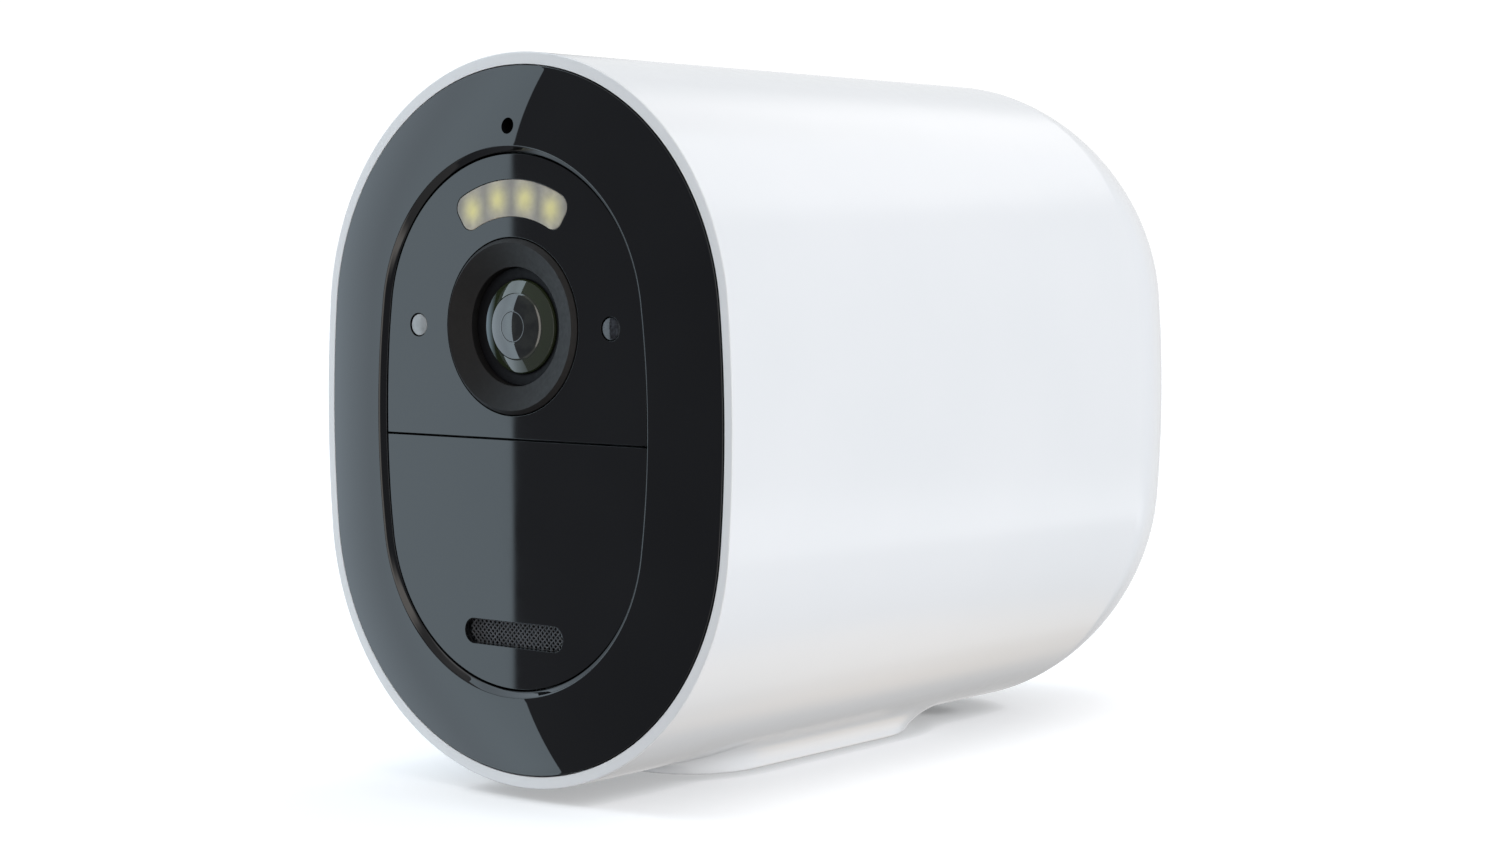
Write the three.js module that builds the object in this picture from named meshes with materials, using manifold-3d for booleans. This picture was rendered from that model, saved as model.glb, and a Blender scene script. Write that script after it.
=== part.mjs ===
// Battery security camera with a floodlight, in three groups: a white oval sleeve with a domed back
// and a foot, a camera module that slides out of its front, and a battery pack in the module's tail.
// Millimetres, X to the right seen from the front, Y into the depth (the lens looks along -Y), Z up.
// The design coordinates start at the middle of the front bezel. The exported group moves them so that
// the origin is under the middle of the object, on the surface it stands on.
import * as THREE from 'three';
import { mergeVertices } from 'three/addons/utils/BufferGeometryUtils.js';
import Module from 'manifold-3d';

const wasm = await Module();
wasm.setup();

// ---------------------------------------------------------------- driving dimensions
// An oval is four arcs: a = half width, b = half height, r = radius of the top and bottom arcs.
const SLEEVE = { a: 30.24, b: 40.51, r: 29.8 };
const SLEEVE_REAR = 111;
const SLEEVE_FRONT = 0;
const DOME = { depth: 28.4, inset: 24, power: 1.6, steps: 6 };
const WALL = 2;
const RECESS = { a: 29.18, b: 39.16, r: 28.71, depth: 2.6 };

const BEZEL = { a: 29.05, b: 39.03, r: 28.58 };
const BEZEL_EDGE = -0.1;
const BEZEL_INNER = { a: 20.14, b: 30.25, r: 19.41 };
const BEZEL_RISE = 1.63;
const BEZEL_CROWN = { a: 24.59, b: 34.64, r: 23.99, rise: 1.14 };
const BEZEL_CHAMFER = 0.64;
const BEZEL_BACK = 2.3;
const PANEL = { a: 19.35, b: 29.38, r: 18.79 };
const PANEL_FRONT = -0.89;
const PANEL_BACK = 2.3;
const PANEL_SEAM = -1.83;
const SEAM_GAP = 0.24;

const LENS_Z = 10.54;
const TRIM = { outer: 9.66, inner: 6.62, front: -1.42, throat: -0.44, edge: 0.46 };
const RETAINER = { outer: 6.47, inner: 5.25, front: 0.15, step: 0.15 };
const GLASS = { radius: 5.2, edge: 0.4, apex: -1.0, back: 2.1, hollow: 3.6, hollowDepth: 0.7 };
const BARREL = { outer: 6.3, inner: 4.4, y: [2.35, 10.6] };
const REAR_GLASS = { radius: 4.2, edges: [6.3, 7.2], bulge: 0.9 };
const SENSOR_Y = [13.7, 15.25];
const SENSOR_BOARD_Y = [15.4, 16.6];
const MIC = { z: 32.45, hole: 0.83, port: 0.4, y: [2.6, 3.8] };
const SIDE_WINDOW = { x: 14.33, radius: 1.2, hole: 1.33 };
const SPOT = { inner: 11.99, outer: 16.11, halfAngle: THREE.MathUtils.degToRad(33.2), corner: 1.47 };
const SPOT_LED_ANGLES = [-24.6, -8.3, 8.3, 24.6];
const SPEAKER = { z: -23.4, halfLength: 7.35, radius: 1.42 };
const MOTION = { z: -11, can: 4.1, brim: 4.6, window: [1.6, 1.2], y: [2.9, 6.4, 7] };

const FOOT = { front: 30, rear: 57.3, halfWidth: 9.7, bottom: -41.75, edge: 0.6, flare: 5, steps: 5 };
const INSERT = { y: 36, outer: 4.5, hole: 3.1, bottom: -41.45, top: -35.9, floor: -36.7 };
const BOSS = { radius: 7, z: [-40, -34.9] };
const PORT = { y: 56, halfX: 6, halfY: 3, bottom: -41.2, shelf: -37.3, top: -36.5, pinX: 3.5, pinHole: 1 };
const CHARGE_PIN = { radius: 0.85, shoulder: -33.6, tipRadius: 0.55, tip: -32.25 };
const BUTTON = { y: 77, halfX: 4.8, halfY: 3.3, bottom: -40.3, top: -37.6, brim: 0.5, room: 0.2 };
const LEVER = { y: 70, z: -35.6, halfX: 3.9, toothY: 62.5, toothTop: -32.7, hub: 1.5, pin: 0.7, play: 0.1 };
const CHEEK = { x: 5.5, half: 0.9, y: [67.5, 72.3], z: [-38.8, -34.2] };
const SPRING = { y: 64.8, z: [-38.2, -36.2], radius: 1.4, wire: 0.2, turns: 3 };

const FLANGE = { a: 26.3, b: 36.4, r: 25.8 };
const FLANGE_HOLE = { a: 19.8, b: 28.8, r: 19.3 };
const FLANGE_Y = [5.2, 7.2];
const TUBE = { a: 22.2, b: 31, r: 21.7 };
const TUBE_BORE = { a: 20.6, b: 29.4, r: 20.1 };
const TUBE_REAR = 82;
const PARTITION_Y = [40, 41.6];
const BATTERY = { a: 20, b: 28.8, r: 19.5 };
const BATTERY_Y = [46, 86, 97];
const SCREW = { x: 16.8, z: 26.8, boss: 2, pilot: 0.95, shank: 0.7, head: 1.7, hole: 1.2 };
const CARRIER = { a: 21.8, b: 31, r: 21.3, y: [2.6, 4.9] };
const SEAL = { a: 27.9, b: 38, r: 27.4, y: [5.5, 6.9], lip: 0.2 };
const FRONT_BOARD = { a: 18.8, b: 27.8, r: 18.3, y: [5.4, 6.6], bottom: -1.5 };
const MAIN_BOARD = { a: 19.6, b: 28.4, r: 19.1, y: [24, 25.5], halfHeight: 25.5 };
const DRIVER = { z: -22.6, basket: [9.5, 4.6], cone: [8.3, 3.4], magnet: 3.8 };
const SYNC = { y: 28.6, z: -15.5, stem: 0.9, head: 2.2, hole: 2.4 };
const CATCH_POST = { y: 72.5, radius: 1, hole: 1.25, z: [30.5, 36.8] };
const RAIL = { x: [18, 25.2], z: 20, half: 0.9 };
const FIT = 0.15;
// Cutters reach past the piece they cut, at both ends.
const PAST = 1;
const PANEL_CUT = [-3, 4];
const CARRIER_CUT = [2, 6];

const GROUP_Y = -(SLEEVE_REAR - BEZEL_RISE) / 2;
const GROUP_Z = -FOOT.bottom;

// ---------------------------------------------------------------- solids
// Turns a closed three.js geometry into a solid that can be joined and cut.
function solid(geometry) {
  const bare = geometry.clone();
  bare.deleteAttribute('normal');
  bare.deleteAttribute('uv');
  const merged = mergeVertices(bare, 1e-4);
  const corners = merged.index.array;
  const triangles = [];
  for (let i = 0; i < corners.length; i += 3) {
    const [a, b, c] = [corners[i], corners[i + 1], corners[i + 2]];
    if (a !== b && b !== c && c !== a) {
      triangles.push(a, b, c);
    }
  }
  return new wasm.Manifold(new wasm.Mesh({
    numProp: 3,
    vertProperties: new Float32Array(merged.attributes.position.array),
    triVerts: new Uint32Array(triangles),
  }));
}

function geometryOf(body) {
  const mesh = body.getMesh();
  const geometry = new THREE.BufferGeometry();
  geometry.setAttribute('position', new THREE.BufferAttribute(mesh.vertProperties, 3));
  geometry.setIndex(new THREE.BufferAttribute(mesh.triVerts, 1));
  return geometry;
}

function cut(body, ...tools) {
  return tools.reduce((left, tool) => left.subtract(tool), body);
}

function join(body, ...others) {
  return others.reduce((whole, other) => whole.add(other), body);
}

// A block between two corners, given as [low, high] along each axis.
function block([x0, x1], [y0, y1], [z0, z1]) {
  const geometry = new THREE.BoxGeometry(x1 - x0, y1 - y0, z1 - z0);
  geometry.translate((x0 + x1) / 2, (y0 + y1) / 2, (z0 + z1) / 2);
  return solid(geometry);
}

// A round bar along one axis: across holds its two other coordinates, in X, Y, Z order.
function rod(axis, radius, [low, high], across, sides = 20) {
  const geometry = new THREE.CylinderGeometry(radius, radius, high - low, sides);
  const middle = (low + high) / 2;
  if (axis === 'x') {
    geometry.rotateZ(Math.PI / 2);
    geometry.translate(middle, across[0], across[1]);
  } else if (axis === 'y') {
    geometry.translate(across[0], middle, across[1]);
  } else {
    geometry.rotateX(Math.PI / 2);
    geometry.translate(across[0], across[1], middle);
  }
  return solid(geometry);
}

// A turned piece about the lens axis. The profile is [radius, y] pairs, anticlockwise.
function turned(profile, x, z, sides = 28) {
  const points = profile.map(([radius, y]) => new THREE.Vector2(radius, y));
  const geometry = new THREE.LatheGeometry(points, sides);
  geometry.translate(x, 0, z);
  return solid(geometry);
}

// A flat plate whose outline is drawn in X and Z, between two depths.
function plate(shape, [y0, y1], curveSegments = 6) {
  const geometry = new THREE.ExtrudeGeometry(shape, { depth: y1 - y0, bevelEnabled: false, curveSegments });
  geometry.rotateX(Math.PI / 2);
  geometry.translate(0, y1, 0);
  return solid(geometry);
}

// ---------------------------------------------------------------- outlines
const SIDE_STEPS = 4;
const END_STEPS = 18;
const FOOT_STEPS = 10;

// The points of a four-arc oval, anticlockwise seen from the front.
function ovalPoints({ a, b, r }) {
  const sideCentre = ((b - r) ** 2 - (a - r) ** 2) / (2 * (a - r));
  const sideRadius = a + sideCentre;
  const turn = Math.atan2(b - r, sideCentre);
  const arcs = [
    { x: -sideCentre, z: 0, radius: sideRadius, from: -turn, to: turn, steps: SIDE_STEPS },
    { x: 0, z: b - r, radius: r, from: turn, to: Math.PI - turn, steps: END_STEPS },
    { x: sideCentre, z: 0, radius: sideRadius, from: Math.PI - turn, to: Math.PI + turn, steps: SIDE_STEPS },
    { x: 0, z: r - b, radius: r, from: Math.PI + turn, to: 2 * Math.PI - turn, steps: END_STEPS },
  ];
  const points = [];
  for (const arc of arcs) {
    for (let i = 0; i < arc.steps; i += 1) {
      const angle = arc.from + ((arc.to - arc.from) * i) / arc.steps;
      points.push([arc.x + arc.radius * Math.cos(angle), arc.z + arc.radius * Math.sin(angle)]);
    }
  }
  return points;
}

function grown({ a, b, r }, by) {
  return { a: a + by, b: b + by, r: r + by };
}

function ovalLoop(oval, y) {
  return ovalPoints(oval).map(([x, z]) => [x, y, z]);
}

function ovalPlate(oval, depths) {
  const shape = new THREE.Shape(ovalPoints(oval).map(([x, z]) => new THREE.Vector2(x, z)));
  return plate(shape, depths);
}

// An obround: two half circles joined by straight lines, centred on x, z.
function obround(halfLength, radius, z) {
  const shape = new THREE.Shape();
  shape.absarc(halfLength - radius, z, radius, -Math.PI / 2, Math.PI / 2);
  shape.absarc(radius - halfLength, z, radius, Math.PI / 2, 1.5 * Math.PI);
  return shape;
}

// The floodlight's arched window around the lens: a ring sector with rounded corners, made larger by grow.
function archShape(grow) {
  const inner = SPOT.inner - grow;
  const outer = SPOT.outer + grow;
  const corner = SPOT.corner + grow;
  const outerSpan = SPOT.halfAngle - Math.asin(SPOT.corner / (outer - corner));
  const innerSpan = SPOT.halfAngle - Math.asin(SPOT.corner / (inner + corner));
  const up = Math.PI / 2;
  const at = (radius, angle) => [radius * Math.cos(angle), LENS_Z + radius * Math.sin(angle)];
  const end = SPOT.halfAngle;
  const shape = new THREE.Shape();
  shape.absarc(0, LENS_Z, outer, up - outerSpan, up + outerSpan);
  shape.absarc(...at(outer - corner, up + outerSpan), corner, up + outerSpan, Math.PI + end);
  shape.absarc(...at(inner + corner, up + innerSpan), corner, Math.PI + end, up + innerSpan + Math.PI);
  shape.absarc(0, LENS_Z, inner, up + innerSpan, up - innerSpan, true);
  shape.absarc(...at(inner + corner, up - innerSpan), corner, up - innerSpan + Math.PI, 2 * Math.PI - end);
  shape.absarc(...at(outer - corner, up - outerSpan), corner, -end, up - outerSpan);
  return shape;
}

// ---------------------------------------------------------------- skins
// Joins loops of points into a closed body, with flat ends, or end to start where ring is true.
function skin(loops, ring = false) {
  const count = loops[0].length;
  const positions = loops.flat(2);
  const triangles = [];
  const strips = ring ? loops.length : loops.length - 1;
  for (let k = 0; k < strips; k += 1) {
    const near = k * count;
    const far = ((k + 1) % loops.length) * count;
    for (let i = 0; i < count; i += 1) {
      const j = (i + 1) % count;
      triangles.push(near + i, far + i, far + j, near + i, far + j, near + j);
    }
  }
  if (!ring) {
    for (const [loop, first] of [[loops[0], 0], [loops.at(-1), (loops.length - 1) * count]]) {
      const middle = positions.length / 3;
      const mean = [0, 1, 2].map((axis) => loop.reduce((sum, point) => sum + point[axis], 0) / count);
      positions.push(...mean);
      for (let i = 0; i < count; i += 1) {
        const j = (i + 1) % count;
        const edge = first === 0 ? [first + i, first + j] : [first + j, first + i];
        triangles.push(middle, ...edge);
      }
    }
  }
  const geometry = new THREE.BufferGeometry();
  geometry.setAttribute('position', new THREE.Float32BufferAttribute(positions, 3));
  geometry.setIndex(triangles);
  return solid(geometry);
}

// The oval sleeve with its domed back, thinner by inset all round.
function sleeveForm(inset, front) {
  const oval = grown(SLEEVE, -inset);
  const rear = SLEEVE_REAR - inset;
  const start = rear - DOME.depth;
  const loops = [ovalLoop(oval, front)];
  for (let i = 0; i <= DOME.steps; i += 1) {
    const angle = (Math.PI / 2) * (i / DOME.steps);
    const along = Math.sin(angle) ** (2 / DOME.power);
    const across = Math.max(Math.cos(angle), 0) ** (2 / DOME.power);
    loops.push(ovalLoop(grown(oval, -DOME.inset * (1 - across)), start + DOME.depth * along));
  }
  return skin(loops);
}

// The foot under the sleeve: an obround block whose flanks flare into the sleeve.
function footForm() {
  const { front, rear, halfWidth, bottom, edge, flare, steps } = FOOT;
  const levels = [[bottom, -edge], [bottom + edge, 0]];
  for (let i = 1; i <= steps; i += 1) {
    const angle = THREE.MathUtils.degToRad((65 * i) / steps);
    levels.push([bottom + edge + flare * Math.sin(angle), flare * (1 - Math.cos(angle))]);
  }
  const loops = levels.map(([z, out]) => {
    const radius = halfWidth + out;
    const points = [];
    for (let i = 0; i <= FOOT_STEPS; i += 1) {
      const angle = -Math.PI / 2 + (Math.PI * i) / FOOT_STEPS;
      points.push([radius * Math.sin(angle), front - radius * Math.cos(angle), z]);
    }
    for (let i = 0; i <= FOOT_STEPS; i += 1) {
      const angle = -Math.PI / 2 + (Math.PI * i) / FOOT_STEPS;
      points.push([-radius * Math.sin(angle), rear + radius * Math.cos(angle), z]);
    }
    return points.reverse();
  });
  return skin(loops);
}

// An obround block standing on its end, drawn in X and Y, between two heights.
function uprightObround(halfX, radius, y, [z0, z1]) {
  const shape = obround(halfX, radius, 0);
  const options = { depth: z1 - z0, bevelEnabled: false, curveSegments: 6 };
  const geometry = new THREE.ExtrudeGeometry(shape, options);
  geometry.translate(0, y, z0);
  return solid(geometry);
}

// ---------------------------------------------------------------- the sleeve and what is fixed in it
function makeSleeve() {
  const outer = join(sleeveForm(0, SLEEVE_FRONT), footForm());
  const mouth = ovalPlate(RECESS, [SLEEVE_FRONT - PAST, RECESS.depth]);
  let shell = cut(outer, sleeveForm(WALL, 1), mouth);
  const boss = rod('z', BOSS.radius, BOSS.z, [0, INSERT.y], 32);
  const cheeks = [-1, 1].map((side) => {
    const middle = side * CHEEK.x;
    return block([middle - CHEEK.half, middle + CHEEK.half], CHEEK.y, CHEEK.z);
  });
  shell = join(shell, boss, ...cheeks);
  const buttonHole = [BUTTON.halfX + BUTTON.room, BUTTON.halfY + BUTTON.room, BUTTON.y];
  const pinReach = CHEEK.x + PAST + 0.5;
  return cut(
    shell,
    rod('z', INSERT.outer + FIT, [FOOT.bottom - PAST, INSERT.top + FIT], [0, INSERT.y], 32),
    uprightObround(PORT.halfX + FIT, PORT.halfY + FIT, PORT.y, [FOOT.bottom - PAST, PORT.shelf + 0.3]),
    uprightObround(...buttonHole, [FOOT.bottom, BUTTON.top - 0.3]),
    rod('x', LEVER.pin + LEVER.play, [-pinReach, pinReach], [LEVER.y, LEVER.z], 16),
  );
}

function makeTripodInsert() {
  const body = rod('z', INSERT.outer, [INSERT.bottom, INSERT.top], [0, INSERT.y], 32);
  return cut(body, rod('z', INSERT.hole, [INSERT.bottom - PAST, INSERT.floor], [0, INSERT.y]));
}

function makeChargePort() {
  const { y, halfX, halfY, bottom, shelf, top, pinX, pinHole } = PORT;
  const plug = uprightObround(halfX, halfY, y, [bottom, shelf]);
  const flange = uprightObround(halfX + 1, halfY + 1, y, [shelf, top]);
  const pins = [-1, 1].map((side) => rod('z', pinHole, [bottom - PAST, top + PAST], [side * pinX, y], 16));
  return cut(join(plug, flange), ...pins);
}

function makeChargePin(side) {
  const { radius, shoulder, tipRadius, tip: end } = CHARGE_PIN;
  const foot = rod('z', radius, [PORT.bottom + 0.2, shoulder], [side * PORT.pinX, PORT.y], 16);
  const tip = rod('z', tipRadius, [shoulder, end], [side * PORT.pinX, PORT.y], 16);
  return join(foot, tip);
}

function makeLatchPin() {
  const reach = CHEEK.x + CHEEK.half - 0.1;
  return rod('x', LEVER.pin, [-reach, reach], [LEVER.y, LEVER.z], 16);
}

// The coil spring under the lever's front arm.
function makeLatchSpring() {
  const [low, high] = SPRING.z;
  class Coil extends THREE.Curve {
    getPoint(t, target = new THREE.Vector3()) {
      const angle = 2 * Math.PI * SPRING.turns * t;
      const x = SPRING.radius * Math.cos(angle);
      const y = SPRING.y + SPRING.radius * Math.sin(angle);
      return target.set(x, y, low + (high - low) * t);
    }
  }
  const wire = new THREE.Shape();
  wire.absarc(0, 0, SPRING.wire, 0, 2 * Math.PI);
  const options = { steps: 33, bevelEnabled: false, extrudePath: new Coil(), curveSegments: 2 };
  return solid(new THREE.ExtrudeGeometry(wire, options));
}

function makeLatchButton() {
  const { y, halfX, halfY, bottom, top, brim } = BUTTON;
  const cap = uprightObround(halfX, halfY, y, [bottom, top]);
  const flange = uprightObround(halfX + 2 * brim, halfY + brim, y, [top, top + brim]);
  const stem = rod('z', 0.8, [top + brim, LEVER.z - 0.7], [0, y], 16);
  const groove = { half: 0.3, halfLength: 1.6, depth: 0.35 };
  const grip = [-2, 0, 2].map((x) => block(
    [x - groove.half, x + groove.half],
    [y - groove.halfLength, y + groove.halfLength],
    [bottom - PAST, bottom + groove.depth],
  ));
  return cut(join(cap, flange, stem), ...grip);
}

function makeLatchLever() {
  const { y, z, halfX, toothY, toothTop, hub, pin, play } = LEVER;
  const arms = block([-halfX, halfX], [toothY - 1.1, BUTTON.y + 1], [z - 0.4, z + 0.7]);
  const tooth = block([-2.2, 2.2], [toothY - 0.9, toothY + 0.9], [z, toothTop]);
  const axle = rod('x', hub, [-halfX, halfX], [y, z]);
  return cut(join(arms, tooth, axle), rod('x', pin + play, [-halfX - PAST, halfX + PAST], [y, z], 16));
}

// ---------------------------------------------------------------- the front of the camera module
function forCorners(make) {
  return [[-1, 1], [1, 1], [-1, -1], [1, -1]].map(([sx, sz]) => make(sx * SCREW.x, sz * SCREW.z));
}

function makeBezel() {
  const low = grown(BEZEL_INNER, -BEZEL_CHAMFER);
  const ring = skin([
    ovalLoop(BEZEL, BEZEL_EDGE),
    ovalLoop(BEZEL, BEZEL_BACK),
    ovalLoop(low, BEZEL_BACK),
    ovalLoop(low, BEZEL_CHAMFER - BEZEL_RISE),
    ovalLoop(BEZEL_INNER, -BEZEL_RISE),
    ovalLoop(BEZEL_CROWN, -BEZEL_CROWN.rise),
  ], true);
  const bosses = forCorners((x, z) => rod('y', SCREW.boss, [BEZEL_BACK - 0.5, 5], [x, z], 16));
  const pilots = forCorners((x, z) => rod('y', SCREW.pilot, [2.9, 6], [x, z], 12));
  const soundHole = rod('y', MIC.hole, [-BEZEL_RISE - PAST, BEZEL_BACK + PAST], [0, MIC.z], 16);
  return cut(join(ring, ...bosses), ...pilots, soundHole);
}

function makeFasciaScrew(x, z) {
  const head = rod('y', SCREW.head, [7.4, 8.7], [x, z], 12);
  const shank = rod('y', SCREW.shank, [3.3, 7.4], [x, z], 8);
  return cut(join(head, shank), rod('y', 0.8, [8.1, 9], [x, z], 6));
}

function makeLensPanel() {
  return cut(
    ovalPlate(PANEL, [PANEL_FRONT, PANEL_BACK]),
    block([-25, 25], [-5, 5], [-40, PANEL_SEAM + SEAM_GAP / 2]),
    rod('y', TRIM.outer + FIT, PANEL_CUT, [0, LENS_Z], 32),
    plate(archShape(0), PANEL_CUT, 4),
    ...[-1, 1].map((side) => rod('y', SIDE_WINDOW.hole, PANEL_CUT, [side * SIDE_WINDOW.x, LENS_Z], 16)),
  );
}

function makeMotionPanel() {
  return cut(
    ovalPlate(PANEL, [PANEL_FRONT, PANEL_BACK]),
    block([-25, 25], [-5, 5], [PANEL_SEAM - SEAM_GAP / 2, 40]),
    plate(obround(SPEAKER.halfLength, SPEAKER.radius, SPEAKER.z), PANEL_CUT),
    plate(obround(SPEAKER.halfLength + 1.2, SPEAKER.radius + 1.2, SPEAKER.z), [0, PANEL_CUT[1]]),
  );
}

function makeCarrier() {
  return cut(
    ovalPlate(CARRIER, CARRIER.y),
    rod('y', 6.8, CARRIER_CUT, [0, LENS_Z], 32),
    plate(archShape(0), CARRIER_CUT, 4),
    rod('y', 5, CARRIER_CUT, [0, MOTION.z], 24),
    plate(obround(SPEAKER.halfLength + 1, SPEAKER.radius + 1, SPEAKER.z), CARRIER_CUT),
    ...[-1, 1].map((side) => rod('y', 1.5, CARRIER_CUT, [side * SIDE_WINDOW.x, LENS_Z], 16)),
  );
}

function makeSeal() {
  const inner = grown(FLANGE, FIT);
  const [near, far] = SEAL.y;
  return skin([
    ovalLoop(SEAL, near),
    ovalLoop(SEAL, far),
    ovalLoop(inner, far + SEAL.lip),
    ovalLoop(inner, near - SEAL.lip),
  ], true);
}

function makeSpotWindow() {
  return plate(archShape(-0.13), [PANEL_FRONT + 0.05, 2.2], 4);
}

function makeSpotLed(degrees) {
  const angle = THREE.MathUtils.degToRad(degrees);
  const radius = (SPOT.inner + SPOT.outer) / 2;
  const [x, z] = [radius * Math.sin(angle), LENS_Z + radius * Math.cos(angle)];
  const base = block([x - 1.4, x + 1.4], [4.5, 5.2], [z - 1.4, z + 1.4]);
  return join(base, rod('y', 1.1, [4.1, 4.6], [x, z], 16));
}

function makeSideWindow(side) {
  return rod('y', SIDE_WINDOW.radius, [PANEL_FRONT + 0.05, 2.2], [side * SIDE_WINDOW.x, LENS_Z], 16);
}

function makeStatusLed() {
  const x = -SIDE_WINDOW.x;
  return block([x - 0.8, x + 0.8], [4.3, 5.2], [LENS_Z - 0.8, LENS_Z + 0.8]);
}

function makeNightLed() {
  const x = SIDE_WINDOW.x;
  const base = block([x - 1.3, x + 1.3], [5, 5.25], [LENS_Z - 1.3, LENS_Z + 1.3]);
  return join(base, turned([[0, 3.2], [0.6, 3.35], [1.05, 3.9], [1.05, 5.1], [0, 5.1]], x, LENS_Z, 16));
}

function makeFrontBoard() {
  return cut(
    ovalPlate(FRONT_BOARD, FRONT_BOARD.y),
    block([-25, 25], [5, 7], [-40, FRONT_BOARD.bottom]),
    rod('y', 7, [5, 7], [0, LENS_Z], 32),
  );
}

function makeMicrophone() {
  const body = block([-1.9, 1.9], MIC.y, [MIC.z - 1.2, MIC.z + 1.4]);
  return cut(body, rod('y', MIC.port, [MIC.y[0] - PAST, MIC.y[0] + 0.6], [0, MIC.z], 12));
}

function makeSpeakerMesh() {
  const sheet = plate(obround(SPEAKER.halfLength + 1, SPEAKER.radius + 1, SPEAKER.z), [0.15, 0.55]);
  const holes = [];
  for (let row = -1; row <= 1; row += 1) {
    for (let column = -3; column <= 3; column += 1) {
      holes.push(rod('y', 0.35, [0, 1], [column * 1.9, SPEAKER.z + row], 4));
    }
  }
  return cut(sheet, ...holes);
}

function makeSpeakerDriver() {
  const basket = plate(obround(...DRIVER.basket, DRIVER.z), [5.4, 9]);
  const magnet = rod('y', DRIVER.magnet, [8.8, 11], [0, DRIVER.z]);
  const cone = plate(obround(...DRIVER.cone, DRIVER.z), [5, 6.2]);
  return cut(join(basket, magnet), cone);
}

function makeMotionSensor() {
  const { z, y } = MOTION;
  const [halfX, halfZ] = MOTION.window;
  const can = rod('y', MOTION.can, [y[0], y[1]], [0, z]);
  const brim = rod('y', MOTION.brim, [y[1] - 0.1, y[2]], [0, z]);
  const window = block([-halfX, halfX], [y[0] - PAST, y[0] + 0.2], [z - halfZ, z + halfZ]);
  return cut(join(can, brim), window);
}

function makeMotionBoard() {
  return block([-9, 9], [MOTION.y[2] + 0.2, MOTION.y[2] + 1.3], [MOTION.z - 5, MOTION.z + 5.5]);
}

// ---------------------------------------------------------------- the lens and its sensor
function arcPoints(radius, edgeY, apexY, count) {
  const rise = edgeY - apexY;
  const curve = (radius ** 2 + rise ** 2) / (2 * rise);
  const points = [];
  for (let i = 0; i <= count; i += 1) {
    const r = (radius * i) / count;
    points.push([r, apexY + curve - Math.sign(curve) * Math.sqrt(curve ** 2 - r ** 2)]);
  }
  return points;
}

function makeLensTrim() {
  const { outer, inner, front, throat, edge } = TRIM;
  const profile = [
    [inner, throat], [outer - edge, front], [outer, front + edge],
    [outer, BEZEL_BACK], [inner, BEZEL_BACK], [inner, throat],
  ];
  return turned(profile, 0, LENS_Z);
}

function makeLensRetainer() {
  const { outer, inner, front, step } = RETAINER;
  const back = GLASS.back + 0.1;
  const start = [inner, front + step];
  return turned([start, [outer, front], [outer, back], [inner, back], start], 0, LENS_Z);
}

function makeFrontElement() {
  const { radius, edge, apex, back } = GLASS;
  const hollow = arcPoints(GLASS.hollow, back, back - GLASS.hollowDepth, 3).reverse();
  return turned([...arcPoints(radius, edge, apex, 5), [radius, back], ...hollow], 0, LENS_Z);
}

function makeLensBarrel() {
  const { outer, inner, y: [near, far] } = BARREL;
  const profile = [[inner, near], [outer, near], [outer, far], [inner, far], [inner, near]];
  return turned(profile, 0, LENS_Z);
}

function makeRearElement() {
  const { radius, edges, bulge } = REAR_GLASS;
  const front = arcPoints(radius, edges[0], edges[0] - bulge, 4);
  const back = arcPoints(radius, edges[1], edges[1] + bulge, 4).reverse();
  return turned([...front, ...back], 0, LENS_Z);
}

function makeLensMount() {
  const z = LENS_Z;
  return cut(
    block([-9, 11], [9, 15.2], [z - 7.5, z + 7.5]),
    rod('y', 6.45, [8, 10.8], [0, z], 32),
    rod('y', 2.4, [8, 14], [0, z]),
    block([-3.1, 8.3], [11.2, 13], [z - 3.1, z + 3.1]),
    block([-4.2, 4.2], [12.8, 16], [z - 3.7, z + 3.7]),
  );
}

function makeCutFilter() {
  return block([-2.7, 2.7], [11.6, 12.6], [LENS_Z - 2.7, LENS_Z + 2.7]);
}

function makeFilterCoil() {
  return rod('z', 2.6, [LENS_Z - 4.5, LENS_Z + 4.5], [-12.6, 12.2]);
}

function makeImageSensor() {
  return block([-3.6, 3.6], SENSOR_Y, [LENS_Z - 3.1, LENS_Z + 3.1]);
}

function makeSensorBoard() {
  return block([-11, 13], SENSOR_BOARD_Y, [LENS_Z - 9, LENS_Z + 9]);
}

// ---------------------------------------------------------------- the frame of the module and its boards
function makeChassis() {
  const shell = join(
    ovalPlate(FLANGE, FLANGE_Y),
    ovalPlate(TUBE, [FLANGE_Y[1] - 0.5, TUBE_REAR]),
    ...[-1, 1].flatMap((sx) => [-1, 1].map((sz) => {
      const x = RAIL.x.map((edge) => sx * edge).sort((low, high) => low - high);
      const z = [sz * RAIL.z - RAIL.half, sz * RAIL.z + RAIL.half];
      return block(x, [FLANGE_Y[1] + 0.2, TUBE_REAR], z);
    })),
    block([-2.4, 2.4], [64, 66], [-34, -30.5]),
    rod('z', CATCH_POST.radius, CATCH_POST.z, [0, CATCH_POST.y], 16),
  );
  const cardSlots = [
    block([17, 25], [25.9, 27.2], [6.8, 16.2]),
    block([17, 25], [26, 27.6], [-8.5, 3.1]),
  ];
  return cut(
    shell,
    ovalPlate(FLANGE_HOLE, [FLANGE_Y[0] - 1, FLANGE_Y[1] + 1]),
    ovalPlate(TUBE_BORE, [FLANGE_Y[1], PARTITION_Y[0]]),
    ovalPlate(TUBE_BORE, [PARTITION_Y[1], TUBE_REAR + 1]),
    block([-4, 4], [39, 43], [-12, -8]),
    block([-3.2, 3.2], [75.8, 81], [28, 33]),
    rod('x', SYNC.hole, [15, 25], [SYNC.y, SYNC.z], 20),
    ...cardSlots,
    ...forCorners((x, sz) => rod('y', SCREW.hole, [4, 8], [x, sz], 12)),
  );
}

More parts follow.
